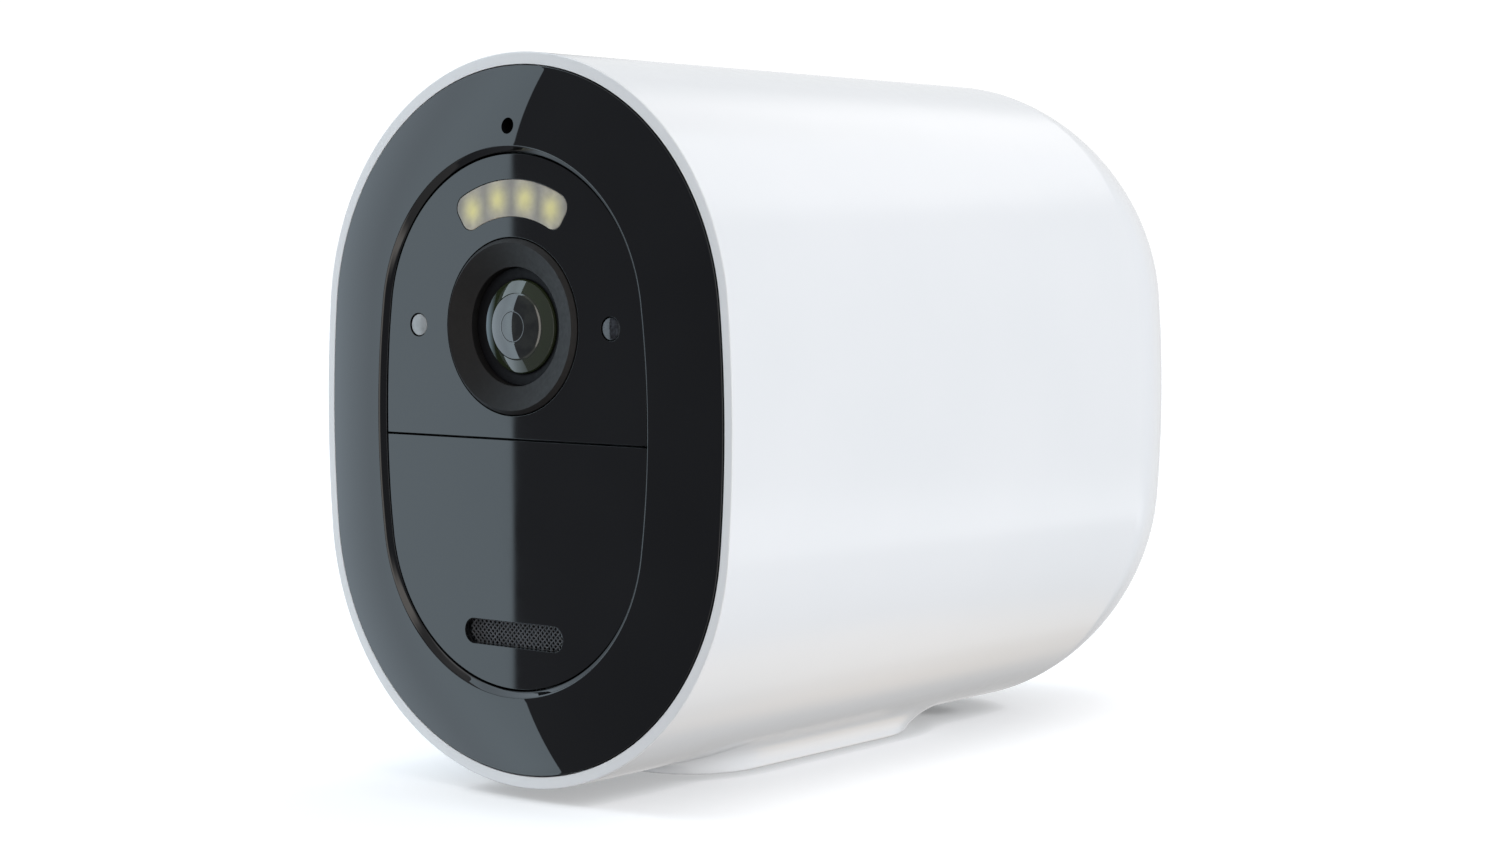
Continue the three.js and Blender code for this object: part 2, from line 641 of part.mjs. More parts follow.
function makeMainBoard() {
  return cut(
    ovalPlate(MAIN_BOARD, MAIN_BOARD.y),
    block([-30, 30], [23, 27], [MAIN_BOARD.halfHeight, 40]),
    block([-30, 30], [23, 27], [-40, -MAIN_BOARD.halfHeight]),
  );
}

function makeProcessorShield() {
  return block([-9, 9], [20.9, 23.85], [-12, 8]);
}

function makeModem() {
  return block([-15, 1], [25.65, 28], [0, 22]);
}

// A card socket on the back of the board, open towards +X.
function makeSocket([x0, x1], [y0, y1], [z0, z1], slotY, slotZ) {
  return cut(block([x0, x1], [y0, y1], [z0, z1]), block([x0 + 1.2, x1 + 1], slotY, slotZ));
}

function makeSimCard() {
  return block([7.3, 19.6], [26.2, 26.87], [7.1, 15.9]);
}

function makeMemoryCard() {
  return block([4.6, 19.6], [26.3, 27.3], [-8.2, 2.8]);
}

function makeSyncSwitch() {
  return block([12, 16.9], [25.65, 29.4], [-18, -13]);
}

function makeSyncButton() {
  const stem = rod('x', SYNC.stem, [17.8, 18.8], [SYNC.y, SYNC.z], 16);
  return join(stem, rod('x', SYNC.head, [18.6, 21.5], [SYNC.y, SYNC.z], 20));
}

function makeModemAntenna() {
  return block([-8, 8], [9, 22], [25.4, 26.2]);
}

function makeWifiAntenna() {
  return block([-19.2, -18.4], [10, 22], [-8, 10]);
}

function makeContactBlock() {
  const housing = block([-9, 9], [41.8, 44.2], [-22, -16]);
  const blades = [-6, -2, 2, 6].map((x) => block([x - 0.7, x + 0.7], [44, 45.6], [-20.5, -17.5]));
  return join(housing, ...blades);
}

function makeContactPlate() {
  return block([-6, 6], [53, 59], [-32.1, -31.15]);
}

// ---------------------------------------------------------------- the battery and its catch
function makeBattery() {
  const [front, shoulder, rear] = BATTERY_Y;
  const loops = [ovalLoop(grown(BATTERY, -0.8), front), ovalLoop(BATTERY, front + 0.8)];
  const steps = 4;
  for (let i = 0; i <= steps; i += 1) {
    const angle = (Math.PI / 2) * (i / steps);
    const inset = 7.4 * (1 - Math.cos(angle));
    loops.push(ovalLoop(grown(BATTERY, -inset), shoulder + (rear - shoulder) * Math.sin(angle)));
  }
  const notch = new THREE.Shape();
  notch.moveTo(75.5, 30);
  notch.lineTo(78.1, 27.4);
  notch.lineTo(81, 27.4);
  notch.lineTo(81, 30);
  const geometry = new THREE.ExtrudeGeometry(notch, { depth: 7, bevelEnabled: false });
  geometry.rotateX(Math.PI / 2);
  geometry.rotateZ(Math.PI / 2);
  geometry.translate(-3.5, 0, 0);
  return cut(skin(loops), solid(geometry));
}

function makeBatteryCatch() {
  const bar = block([-5, 5], [70.5, 81.4], [31.3, 32.8]);
  const profile = new THREE.Shape();
  profile.moveTo(76.1, 31.5);
  profile.lineTo(76.1, 30);
  profile.lineTo(78.3, 27.8);
  profile.lineTo(79.6, 27.8);
  profile.lineTo(79.6, 31.5);
  const geometry = new THREE.ExtrudeGeometry(profile, { depth: 6, bevelEnabled: false });
  geometry.rotateX(Math.PI / 2);
  geometry.rotateZ(Math.PI / 2);
  geometry.translate(-3, 0, 0);
  return cut(join(bar, solid(geometry)), rod('z', CATCH_POST.hole, [30, 34], [0, CATCH_POST.y], 16));
}

// ---------------------------------------------------------------- colours
const FINISHES = {
  whiteGloss: ['#eef0f3', 0.22, 0],
  blackGloss: ['#0b0c0e', 0.08, 0],
  blackMatt: ['#17181a', 0.55, 0],
  greyPlastic: ['#4a4d52', 0.6, 0],
  rubber: ['#1b1b1c', 0.85, 0],
  glass: ['#1c2a33', 0.03, 0],
  diffuser: ['#d8d3c0', 0.45, 0],
  led: ['#f0e2a4', 0.4, 0],
  board: ['#1f5a3a', 0.5, 0],
  metal: ['#b9bcc0', 0.3, 1],
  brass: ['#c9a24a', 0.3, 1],
  card: ['#23262b', 0.5, 0],
  battery: ['#2c2e32', 0.55, 0],
};

const camera = new THREE.Group();
camera.position.set(0, GROUP_Y, GROUP_Z);

function add(name, finish, body) {
  const [color, roughness, metalness] = FINISHES[finish];
  const material = new THREE.MeshStandardMaterial({ color, roughness, metalness });
  const mesh = new THREE.Mesh(geometryOf(body), material);
  mesh.name = name;
  camera.add(mesh);
}

// The sleeve, fixed to a mount.
add('housing_shell', 'whiteGloss', makeSleeve());
add('tripod_insert', 'brass', makeTripodInsert());
add('charge_port', 'blackMatt', makeChargePort());
add('charge_pin_left', 'brass', makeChargePin(-1));
add('charge_pin_right', 'brass', makeChargePin(1));
add('latch_pin', 'metal', makeLatchPin());
add('latch_spring', 'metal', makeLatchSpring());
add('latch_button', 'greyPlastic', makeLatchButton());
add('latch_lever', 'greyPlastic', makeLatchLever());

// The camera module, which slides out of the sleeve.
add('front_bezel', 'blackGloss', makeBezel());
add('lens_panel', 'blackGloss', makeLensPanel());
add('motion_panel', 'blackGloss', makeMotionPanel());
add('panel_carrier', 'blackMatt', makeCarrier());
add('module_seal', 'rubber', makeSeal());
add('chassis', 'blackMatt', makeChassis());
forCorners((x, z) => [x, z]).forEach(([x, z], i) => {
  add(`bezel_screw_${i + 1}`, 'metal', makeFasciaScrew(x, z));
});
add('lens_trim', 'blackMatt', makeLensTrim());
add('lens_retainer', 'blackMatt', makeLensRetainer());
add('lens_front_element', 'glass', makeFrontElement());
add('lens_barrel', 'blackMatt', makeLensBarrel());
add('lens_rear_element', 'glass', makeRearElement());
add('lens_mount', 'blackMatt', makeLensMount());
add('ir_cut_filter', 'glass', makeCutFilter());
add('ir_cut_coil', 'brass', makeFilterCoil());
add('image_sensor', 'card', makeImageSensor());
add('sensor_board', 'board', makeSensorBoard());
add('spotlight_window', 'diffuser', makeSpotWindow());
SPOT_LED_ANGLES.forEach((degrees, i) => {
  add(`spotlight_led_${i + 1}`, 'led', makeSpotLed(degrees));
});
add('status_window', 'diffuser', makeSideWindow(-1));
add('status_led', 'led', makeStatusLed());
add('ir_window', 'glass', makeSideWindow(1));
add('ir_led', 'glass', makeNightLed());
add('front_board', 'board', makeFrontBoard());
add('microphone', 'metal', makeMicrophone());
add('speaker_mesh', 'blackMatt', makeSpeakerMesh());
add('speaker_driver', 'blackMatt', makeSpeakerDriver());
add('motion_sensor', 'metal', makeMotionSensor());
add('motion_sensor_board', 'board', makeMotionBoard());
add('main_board', 'board', makeMainBoard());
add('processor_shield', 'metal', makeProcessorShield());
add('cellular_modem', 'metal', makeModem());
const simSocket = makeSocket([5, 17.9], [25.65, 27.5], [6.3, 16.7], [26, 27.07], [6.9, 16.1]);
add('sim_socket', 'metal', simSocket);
const memorySocket = makeSocket([2.5, 17.9], [25.65, 28], [-9.3, 3.9], [26.1, 27.5], [-8.4, 3]);
add('memory_card_socket', 'metal', memorySocket);
add('sim_card', 'card', makeSimCard());
add('memory_card', 'card', makeMemoryCard());
add('sync_switch', 'metal', makeSyncSwitch());
add('sync_button', 'greyPlastic', makeSyncButton());
add('cellular_antenna', 'brass', makeModemAntenna());
add('wifi_antenna', 'brass', makeWifiAntenna());
add('battery_contact_block', 'blackMatt', makeContactBlock());
add('charge_contact_plate', 'brass', makeContactPlate());

// The battery in the module's tail.
add('battery_pack', 'battery', makeBattery());
add('battery_catch', 'greyPlastic', makeBatteryCatch());

export default camera;
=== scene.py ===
import math

import bmesh
import bpy
import numpy as np
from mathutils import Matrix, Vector
from mathutils.geometry import tessellate_polygon


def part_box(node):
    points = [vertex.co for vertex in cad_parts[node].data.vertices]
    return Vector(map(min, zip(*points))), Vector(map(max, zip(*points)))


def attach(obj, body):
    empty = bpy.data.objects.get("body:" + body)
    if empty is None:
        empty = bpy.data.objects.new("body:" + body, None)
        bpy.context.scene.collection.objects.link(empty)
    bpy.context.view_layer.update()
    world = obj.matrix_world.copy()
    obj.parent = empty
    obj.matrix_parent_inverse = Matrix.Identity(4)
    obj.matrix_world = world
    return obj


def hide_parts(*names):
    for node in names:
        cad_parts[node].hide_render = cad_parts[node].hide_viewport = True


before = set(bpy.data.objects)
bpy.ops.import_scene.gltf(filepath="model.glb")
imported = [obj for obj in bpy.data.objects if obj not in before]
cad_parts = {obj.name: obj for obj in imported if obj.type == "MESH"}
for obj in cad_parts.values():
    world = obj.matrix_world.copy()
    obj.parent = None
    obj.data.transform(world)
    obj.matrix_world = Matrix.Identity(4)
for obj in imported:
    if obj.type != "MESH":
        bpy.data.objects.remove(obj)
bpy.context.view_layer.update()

# The looks of a floodlight security camera on its CAD model.
# Shapes are worked out in design millimetres: X right seen from the front, Y into the depth,
# Z up, zero at the middle of the front bezel. place() brings them into the row frame, in metres.

MM = 0.001
BEZEL_RISE = 1.63
bezel_low, bezel_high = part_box("front_bezel")
ORIGIN = np.array([
    (bezel_low.x + bezel_high.x) / 2,
    bezel_low.y + BEZEL_RISE * MM,
    (bezel_low.z + bezel_high.z) / 2,
])
shell_low, shell_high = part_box("housing_shell")

# ---------------------------------------------------------------- sizes, in millimetres
# An oval is four arcs: half width, half height, radius of the top and bottom arcs.
# A section is a closed loop of (radius, y) that lathe() turns about the depth axis.
SLEEVE = (30.24, 40.51, 29.8)
SLEEVE_REAR = (shell_high.y - ORIGIN[1]) / MM
SLEEVE_FRONT = 0.0
WALL = 2.0
RECESS = (29.18, 39.16, 28.71)
RECESS_DEPTH = 2.6
DOME_DEPTH, DOME_INSET, DOME_POWER = 28.4, 24.0, 1.6

BEZEL = (29.05, 39.03, 28.58)
BEZEL_EDGE = -0.1
BEZEL_INNER = (20.14, 30.25, 19.41)
BEZEL_CHAMFER = 0.64
BEZEL_BACK = 2.3
BEZEL_FLATTER = 0.43
BEZEL_WIDTH, BEZEL_ROUND = 9.0, 0.08
PANEL = (19.35, 29.38, 18.79)
PANEL_FRONT = -0.89
PANEL_BACK = 2.3
MOTION_BACK = 0.0
PANEL_EDGE = 0.02
SEAM_Z, SEAM_GAP = -1.83, 0.24
MIC_Z, MIC_RADIUS = 32.45, 0.83

LENS_Z = 10.54
LENS_HOLE = 9.81
GLASS_DOME_RADIUS, GLASS_DOME_EDGE, GLASS_DOME_APEX = 3.55, -0.333, -0.9
GLASS_RIDGE_RADIUS, GLASS_RIDGE_WIDTH, GLASS_RIDGE_HEIGHT = 1.72, 0.05, 0.03
GLASS_RIM = [(GLASS_DOME_RADIUS, GLASS_DOME_EDGE), (3.7, -0.19), (5.06, 0.38), (5.2, 0.56),
             (5.2, 2.1), (0, 2.1)]
HOOD = [(6.55, -0.40), (9.2, -1.42), (9.66, -0.96), (9.66, 2.3), (6.55, 2.3)]
RETAINER = [(5.25, 0.72), (5.7, 0.56), (6.47, 0.46), (6.47, 2.2), (5.25, 2.2)]
BARREL_BORE, BARREL_RADIUS, BARREL_FRONT, BARREL_BACK = 4.4, 6.3, 2.35, 10.6
BARREL_GROOVES, BARREL_GROOVE_PITCH, BARREL_GROOVE_DEPTH = 6, 0.4, 0.12
REAR_RADIUS, REAR_FRONT, REAR_BACK = 4.2, (6.3, 5.4), (7.2, 8.1)
SIDE_X, SIDE_RADIUS, SIDE_HOLE, SIDE_SUNK = 14.33, 1.2, 1.33, 0.1
WINDOW_BACK = 2.2
SPOT_INNER, SPOT_OUTER, SPOT_CORNER = 11.99, 16.11, 1.47
SPOT_HALF = math.radians(33.2)
SPOT_LEDS = [math.radians(a) for a in (-24.6, -8.3, 8.3, 24.6)]
SPEAKER_Z, SPEAKER_HALF, SPEAKER_RADIUS = -23.4, 7.35, 1.42
CLOTH_HALF, CLOTH_RADIUS, CLOTH_PITCH, CLOTH_DEPTH = 8.3, 2.4, 0.46, 0.36
WIRE_RADIUS, WIRE_SIDES, WIRE_SWAY = 0.085, 6, 0.05

FOOT_FRONT, FOOT_REAR, FOOT_HALF = 30.0, 57.3, 9.7
FOOT_BOTTOM = (shell_low.z - ORIGIN[2]) / MM
INSERT_Y, PORT_Y, BUTTON_Y = 36.0, 56.0, 77.0
INSERT_HOLE, PORT_HOLE, BUTTON_HOLE = 4.65, (6.15, 3.15), (5.0, 3.5)
HINGE_LUG_X, HINGE_LUG_THICK, HINGE_LUG_Y = 5.5, 1.8, (67.5, 72.3)

# ---------------------------------------------------------------- camera
CAMERA_AZIMUTH, CAMERA_ELEVATION = 38.404, 3.499
CAMERA_BACK, CAMERA_RIGHT, CAMERA_UP = 304.06, 25.52, 0.063
CAMERA_LENS, CAMERA_SENSOR = 66.42, 36


# ---------------------------------------------------------------- meshes
def place(points):
    return np.asarray(points, float) * MM + ORIGIN


class Solid:
    """Points and faces of one piece, in design millimetres."""

    def __init__(self):
        self.points = []
        self.faces = []

    def add(self, points):
        first = len(self.points)
        self.points.extend(tuple(p) for p in points)
        return list(range(first, len(self.points)))

    def strip(self, a, b):
        n = len(a)
        for i in range(n):
            j = (i + 1) % n
            self.faces.append((a[i], a[j], b[j], b[i]))

    def fan(self, loop, tip):
        n = len(loop)
        for i in range(n):
            self.faces.append((loop[i], loop[(i + 1) % n], tip))

    def cap(self, loops, axes=(0, 2)):
        """A flat face inside the first loop and outside the others."""
        u, v = axes
        flat = [[Vector((self.points[i][u], self.points[i][v], 0)) for i in loop] for loop in loops]
        order = [i for loop in loops for i in loop]
        for triangle in tessellate_polygon(flat):
            self.faces.append(tuple(order[k] for k in triangle))

    def make(self, name):
        mesh = bpy.data.meshes.new(name)
        mesh.from_pydata(place(self.points).tolist(), [], self.faces)
        bm = bmesh.new()
        bm.from_mesh(mesh)
        bmesh.ops.remove_doubles(bm, verts=bm.verts, dist=1e-7)
        bmesh.ops.recalc_face_normals(bm, faces=bm.faces)
        bm.to_mesh(mesh)
        bm.free()
        made = bpy.data.objects.new(name, mesh)
        bpy.context.scene.collection.objects.link(made)
        return made


def shade(obj, sharp=35.0, weighted=True):
    """Smooth shading that keeps edges sharper than the angle."""
    mesh = obj.data
    mesh.polygons.foreach_set("use_smooth", [True] * len(mesh.polygons))
    mesh.set_sharp_from_angle(angle=math.radians(sharp))
    if weighted:
        modifier = obj.modifiers.new("normals", "WEIGHTED_NORMAL")
        modifier.keep_sharp = True
        modifier.weight = 60
    return obj


def combine(target, tool, operation):
    """Joins or cuts target with tool, for good, and removes the tool."""
    modifier = target.modifiers.new("combine", "BOOLEAN")
    modifier.operation = operation
    modifier.solver = "EXACT"
    modifier.object = tool
    graph = bpy.context.evaluated_depsgraph_get()
    mesh = bpy.data.meshes.new_from_object(target.evaluated_get(graph))
    target.modifiers.clear()
    target.data = mesh
    bpy.data.objects.remove(tool)
    return target


def piece(obj, body, nodes, slot, material, sharp=35.0, weighted=True):
    """Gives a new piece its finish and its body, and hides the CAD nodes that it stands for."""
    obj.data.materials.clear()
    obj.data.materials.append(material)
    shade(obj, sharp, weighted)
    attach(obj, body)
    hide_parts(*nodes)
    return obj


# ---------------------------------------------------------------- outlines
def oval(shape, turns, grow=0.0):
    """Points of a four-arc oval at the given directions of its normal, moved outward by grow."""
    a, b, r = shape
    centre = ((b - r) ** 2 - (a - r) ** 2) / (2 * (a - r))
    corner = math.atan2(b - r, centre)
    cos, sin = np.cos(turns), np.sin(turns)
    side = np.abs(sin) < math.sin(corner)
    cx = np.where(side, -np.sign(cos) * centre, 0.0)
    cz = np.where(side, 0.0, np.sign(sin) * (b - r))
    radius = np.where(side, a + centre, r) + grow
    return np.stack([cx + radius * cos, cz + radius * sin], 1)


def oval_turns(shape, side_steps, end_steps):
    a, b, r = shape
    corner = math.atan2(b - r, ((b - r) ** 2 - (a - r) ** 2) / (2 * (a - r)))
    stretch = [(-corner, corner, side_steps), (corner, math.pi - corner, end_steps)]
    stretch += [(low + math.pi, high + math.pi, steps) for low, high, steps in stretch]
    return np.concatenate([np.linspace(lo, hi, n, endpoint=False) for lo, hi, n in stretch])


def arc(x, z, radius, start, end, steps):
    turns = np.linspace(start, end, steps)
    return np.stack([x + radius * np.cos(turns), z + radius * np.sin(turns)], 1)


def circle(x, z, radius, steps=72):
    return arc(x, z, radius, 0, 2 * math.pi, steps + 1)[:-1]


def obround(half, radius, x=0.0, z=0.0, steps=24):
    """Two half circles joined by straight lines, anticlockwise."""
    right = arc(x + half - radius, z, radius, -math.pi / 2, math.pi / 2, steps)
    left = arc(x - half + radius, z, radius, math.pi / 2, 1.5 * math.pi, steps)
    return np.concatenate([right, left])


def arch():
    """The floodlight's window: a ring sector round the lens with rounded corners."""
    outer_span = SPOT_HALF - math.asin(SPOT_CORNER / (SPOT_OUTER - SPOT_CORNER))
    inner_span = SPOT_HALF - math.asin(SPOT_CORNER / (SPOT_INNER + SPOT_CORNER))
    up, pi = math.pi / 2, math.pi

    def corner(radius, turn, start, end):
        x, z = radius * math.cos(turn), LENS_Z + radius * math.sin(turn)
        return arc(x, z, SPOT_CORNER, start, end, 12)

    far, near = SPOT_OUTER - SPOT_CORNER, SPOT_INNER + SPOT_CORNER
    return np.concatenate([
        arc(0, LENS_Z, SPOT_OUTER, up - outer_span, up + outer_span, 40)[1:-1],
        corner(far, up + outer_span, up + outer_span, pi + SPOT_HALF),
        corner(near, up + inner_span, pi + SPOT_HALF, up + inner_span + pi),
        arc(0, LENS_Z, SPOT_INNER, up + inner_span, up - inner_span, 30)[1:-1],
        corner(near, up - inner_span, up - inner_span - pi, -SPOT_HALF),
        corner(far, up - outer_span, -SPOT_HALF, up - outer_span),
    ])


def offset(outline, by):
    """A closed outline, anticlockwise, moved outward."""
    ahead = np.roll(outline, -1, 0) - outline
    ahead /= np.linalg.norm(ahead, axis=1)[:, None]
    behind = np.roll(ahead, 1, 0)
    total = ahead + behind
    out = np.stack([total[:, 1], -total[:, 0]], 1) / (1 + (ahead * behind).sum(1))[:, None]
    return outline + by * out


def at_depth(outline, y):
    return np.stack([outline[:, 0], np.full(len(outline), y), outline[:, 1]], 1)


def softened(section, radii, steps=4):
    """Rounds the corners of a closed section. radii gives each corner's radius, 0 to leave it."""
    out = []
    for i, (corner, radius) in enumerate(zip(section, radii)):
        p = np.array(corner, float)
        if not radius:
            out.append(p)
            continue
        a = np.array(section[i - 1], float) - p
        b = np.array(section[(i + 1) % len(section)], float) - p
        a, b = a / np.linalg.norm(a), b / np.linalg.norm(b)
        half = 0.5 * math.acos(max(-1.0, min(1.0, float(a @ b))))
        centre = p + (a + b) / np.linalg.norm(a + b) * radius / math.sin(half)
        start = p + a * radius / math.tan(half) - centre
        end = p + b * radius / math.tan(half) - centre
        sweep = math.pi - 2 * half
        for k in range(steps + 1):
            t = k / steps
            turned = math.sin((1 - t) * sweep) * start + math.sin(t * sweep) * end
            out.append(centre + turned / math.sin(sweep))
    return out


# ---------------------------------------------------------------- kinds of piece
def lathe(name, section, x, z, steps=96):
    """A piece turned about the depth axis. The section is a closed loop of (radius, y)."""
    solid = Solid()
    loops = []
    for radius, y in section:
        if radius < 1e-6:
            loops.append(solid.add([(x, y, z)]))
        else:
            loops.append(solid.add(at_depth(circle(x, z, radius, steps), y)))
    for a, b in zip(loops, loops[1:] + loops[:1]):
        if len(a) > 1 and len(b) > 1:
            solid.strip(a, b)
        elif len(a) > 1:
            solid.fan(a, b[0])
        elif len(b) > 1:
            solid.fan(b, a[0])
    return solid.make(name)


def panel(name, outline, holes, front, back, edge=PANEL_EDGE, support=0.02):
    """A flat plate with a rounded front edge, all round and in its holes."""
    levels = [(-edge - support, front)]
    for k in range(5):
        turn = math.pi / 2 * k / 4
        levels.append((-edge * (1 - math.sin(turn)), front + edge * (1 - math.cos(turn))))
    levels.append((0.0, back))
    solid = Solid()
    fronts, backs = [], []
    for contour, sign in [(outline, 1)] + [(hole, -1) for hole in holes]:
        loops = [solid.add(at_depth(offset(contour, sign * grow), y)) for grow, y in levels]
        for a, b in zip(loops, loops[1:]):
            solid.strip(a, b)
        fronts.append(loops[0])
        backs.append(loops[-1])
    solid.cap(fronts)
    solid.cap(backs)
    return solid.make(name)


def standing(outline, levels):
    """A closed body whose outline lies in X and Y, with (grow, z) levels from bottom to top."""
    solid = Solid()
    loops = []
    for grow, z in levels:
        flat = offset(outline, grow)
        loops.append(solid.add(np.stack([flat[:, 0], flat[:, 1], np.full(len(flat), z)], 1)))
    for a, b in zip(loops, loops[1:]):
        solid.strip(a, b)
    solid.cap([loops[0]], (0, 1))
    solid.cap([loops[-1]], (0, 1))
    return solid


def several(name, solids):
    """One mesh out of solids that don't touch."""
    whole = Solid()
    for solid in solids:
        first = len(whole.points)
        whole.points.extend(solid.points)
        whole.faces.extend(tuple(i + first for i in face) for face in solid.faces)
    return whole.make(name)


# ---------------------------------------------------------------- materials
def maths(tree, operation, first, second=None):
    """A Math node on sockets or plain numbers."""
    node = tree.nodes.new("ShaderNodeMath")
    node.operation = operation
    for socket, value in zip(node.inputs, (first, second)):
        if isinstance(value, (int, float)):
            socket.default_value = value
        elif value is not None:
            tree.links.new(value, socket)
    return node.outputs[0]


class Finish:
    """A procedural material on the Principled shader."""

    def __init__(self, name, **sockets):
        self.material = bpy.data.materials.new(name)
        self.material.use_nodes = True
        self.tree = self.material.node_tree
        self.shader = self.tree.nodes["Principled BSDF"]
        for socket, value in sockets.items():
            self.shader.inputs[socket.replace("_", " ")].default_value = value
        self.where = self.node("ShaderNodeTexCoord").outputs["Object"]

    def node(self, kind, **settings):
        made = self.tree.nodes.new(kind)
        for key, value in settings.items():
            setattr(made, key, value)
        return made

    def link(self, out, socket):
        self.tree.links.new(out, socket)

    def noise(self, size, detail=3.0, stretch=None):
        """Noise between 0 and 1 whose features are about size millimetres across."""
        texture = self.node("ShaderNodeTexNoise")
        texture.inputs["Scale"].default_value = 1 / (size * MM)
        texture.inputs["Detail"].default_value = detail
        if stretch:
            mapping = self.node("ShaderNodeMapping")
            mapping.inputs["Scale"].default_value = stretch
            self.link(self.where, mapping.inputs["Vector"])
            self.link(mapping.outputs["Vector"], texture.inputs["Vector"])
        else:
            self.link(self.where, texture.inputs["Vector"])
        return texture.outputs["Fac"]

    def ranged(self, value, low, high, start=0.3, end=0.7):
        node = self.node("ShaderNodeMapRange")
        node.inputs["From Min"].default_value = start
        node.inputs["From Max"].default_value = end
        node.inputs["To Min"].default_value = low
        node.inputs["To Max"].default_value = high
        self.link(value, node.inputs["Value"])
        return node.outputs["Result"]

    def mixed(self, factor, first, second):
        node = self.node("ShaderNodeMix", data_type="RGBA")
        self.link(factor, node.inputs["Factor"])
        for socket, colour in ((6, first), (7, second)):
            if isinstance(colour, tuple):
                node.inputs[socket].default_value = (*colour, 1)
            else:
                self.link(colour, node.inputs[socket])
        return node.outputs[2]

    def colours(self, first, second, size, detail=3.0, stretch=None):
        factor = self.ranged(self.noise(size, detail, stretch), 0, 1)
        self.link(self.mixed(factor, first, second), self.shader.inputs["Base Color"])
        return self

    def roughness(self, low, high, size, detail=3.0, stretch=None):
        value = self.ranged(self.noise(size, detail, stretch), low, high)
        self.link(value, self.shader.inputs["Roughness"])
        return self

    def bump(self, height, size, detail=2.0, stretch=None):
        """Relief of the given height, in millimetres."""
        node = self.node("ShaderNodeBump")
        node.inputs["Distance"].default_value = height * MM
        node.inputs["Strength"].default_value = 1.0
        self.link(self.noise(size, detail, stretch), node.inputs["Height"])
        self.link(node.outputs["Normal"], self.shader.inputs["Normal"])
        return self

    def maths(self, operation, first, second=None):
        return maths(self.tree, operation, first, second)


def white_plastic():
    made = Finish("white_plastic", IOR=1.5)
    made.colours((0.80, 0.815, 0.83), (0.825, 0.835, 0.85), 30)
    made.roughness(0.13, 0.17, 1.4)
    return made.bump(0.0012, 0.9).material


def black_gloss():
    made = Finish("black_gloss", IOR=1.5)
    made.colours((0.0045, 0.0048, 0.0058), (0.0065, 0.007, 0.008), 12)
    return made.roughness(0.004, 0.014, 5).material


def black_panel():
    made = Finish("black_panel", IOR=1.5)
    made.colours((0.0045, 0.0048, 0.0058), (0.0065, 0.007, 0.008), 12)
    return made.roughness(0.014, 0.024, 4).material


def black_matt(name="black_matt", rough=(0.42, 0.52), tone=(0.012, 0.011, 0.0105), ior=1.46):
    made = Finish(name, IOR=ior)
    lighter = tuple(1.35 * c for c in tone)
    made.colours(tone, lighter, 1.5)
    made.roughness(*rough, 0.5)
    return made.bump(0.006, 0.12, 1.0).material


def grey_plastic():
    made = Finish("grey_plastic", IOR=1.46)
    made.colours((0.060, 0.064, 0.070), (0.078, 0.082, 0.088), 3)
    made.roughness(0.45, 0.6, 0.6)
    return made.bump(0.008, 0.16, 1.0).material


def rubber():
    made = Finish("rubber", IOR=1.52)
    made.colours((0.012, 0.012, 0.013), (0.022, 0.022, 0.023), 2)
    made.roughness(0.7, 0.9, 0.7)
    return made.bump(0.01, 0.25).material


def lens_glass():
    """Coated glass over a black interior: a deep green ring round a near-black middle, with a painted
    reflection that turns the ring light blue towards its left side.
    """
    made = Finish("lens_glass", IOR=1.74)
    axes = made.node("ShaderNodeSeparateXYZ")
    made.link(made.where, axes.inputs[0])
    across = made.maths("SUBTRACT", axes.outputs["X"], float(ORIGIN[0]))
    up = made.maths("SUBTRACT", axes.outputs["Z"], float(ORIGIN[2]) + LENS_Z * MM)
    square = made.maths("ADD", made.maths("MULTIPLY", across, across), made.maths("MULTIPLY", up, up))
    radius = made.maths("SQRT", square)
    ring = made.ranged(radius, 0, 1, 3.4 * MM, 3.9 * MM)
    smudge = made.ranged(made.noise(1.3, 3), 0, 1, 0.42, 0.62)
    middle = made.mixed(smudge, (0.006, 0.008, 0.007), (0.020, 0.023, 0.019))
    # painted reflection: the ring is painted light blue towards its left edge
    painted_streak = made.ranged(across, 1, 0, -4.9 * MM, -3.3 * MM)
    glow = made.mixed(painted_streak, (0.030, 0.040, 0.018), (0.34, 0.42, 0.47))
    made.link(made.mixed(ring, middle, glow), made.shader.inputs["Base Color"])
    return made.roughness(0.004, 0.012, 2).material


def inner_glass():
    made = Finish("inner_glass", IOR=1.6, Transmission_Weight=1.0)
    made.colours((0.55, 0.80, 0.58), (0.60, 0.84, 0.62), 5)
    return made.roughness(0.0, 0.01, 3).material


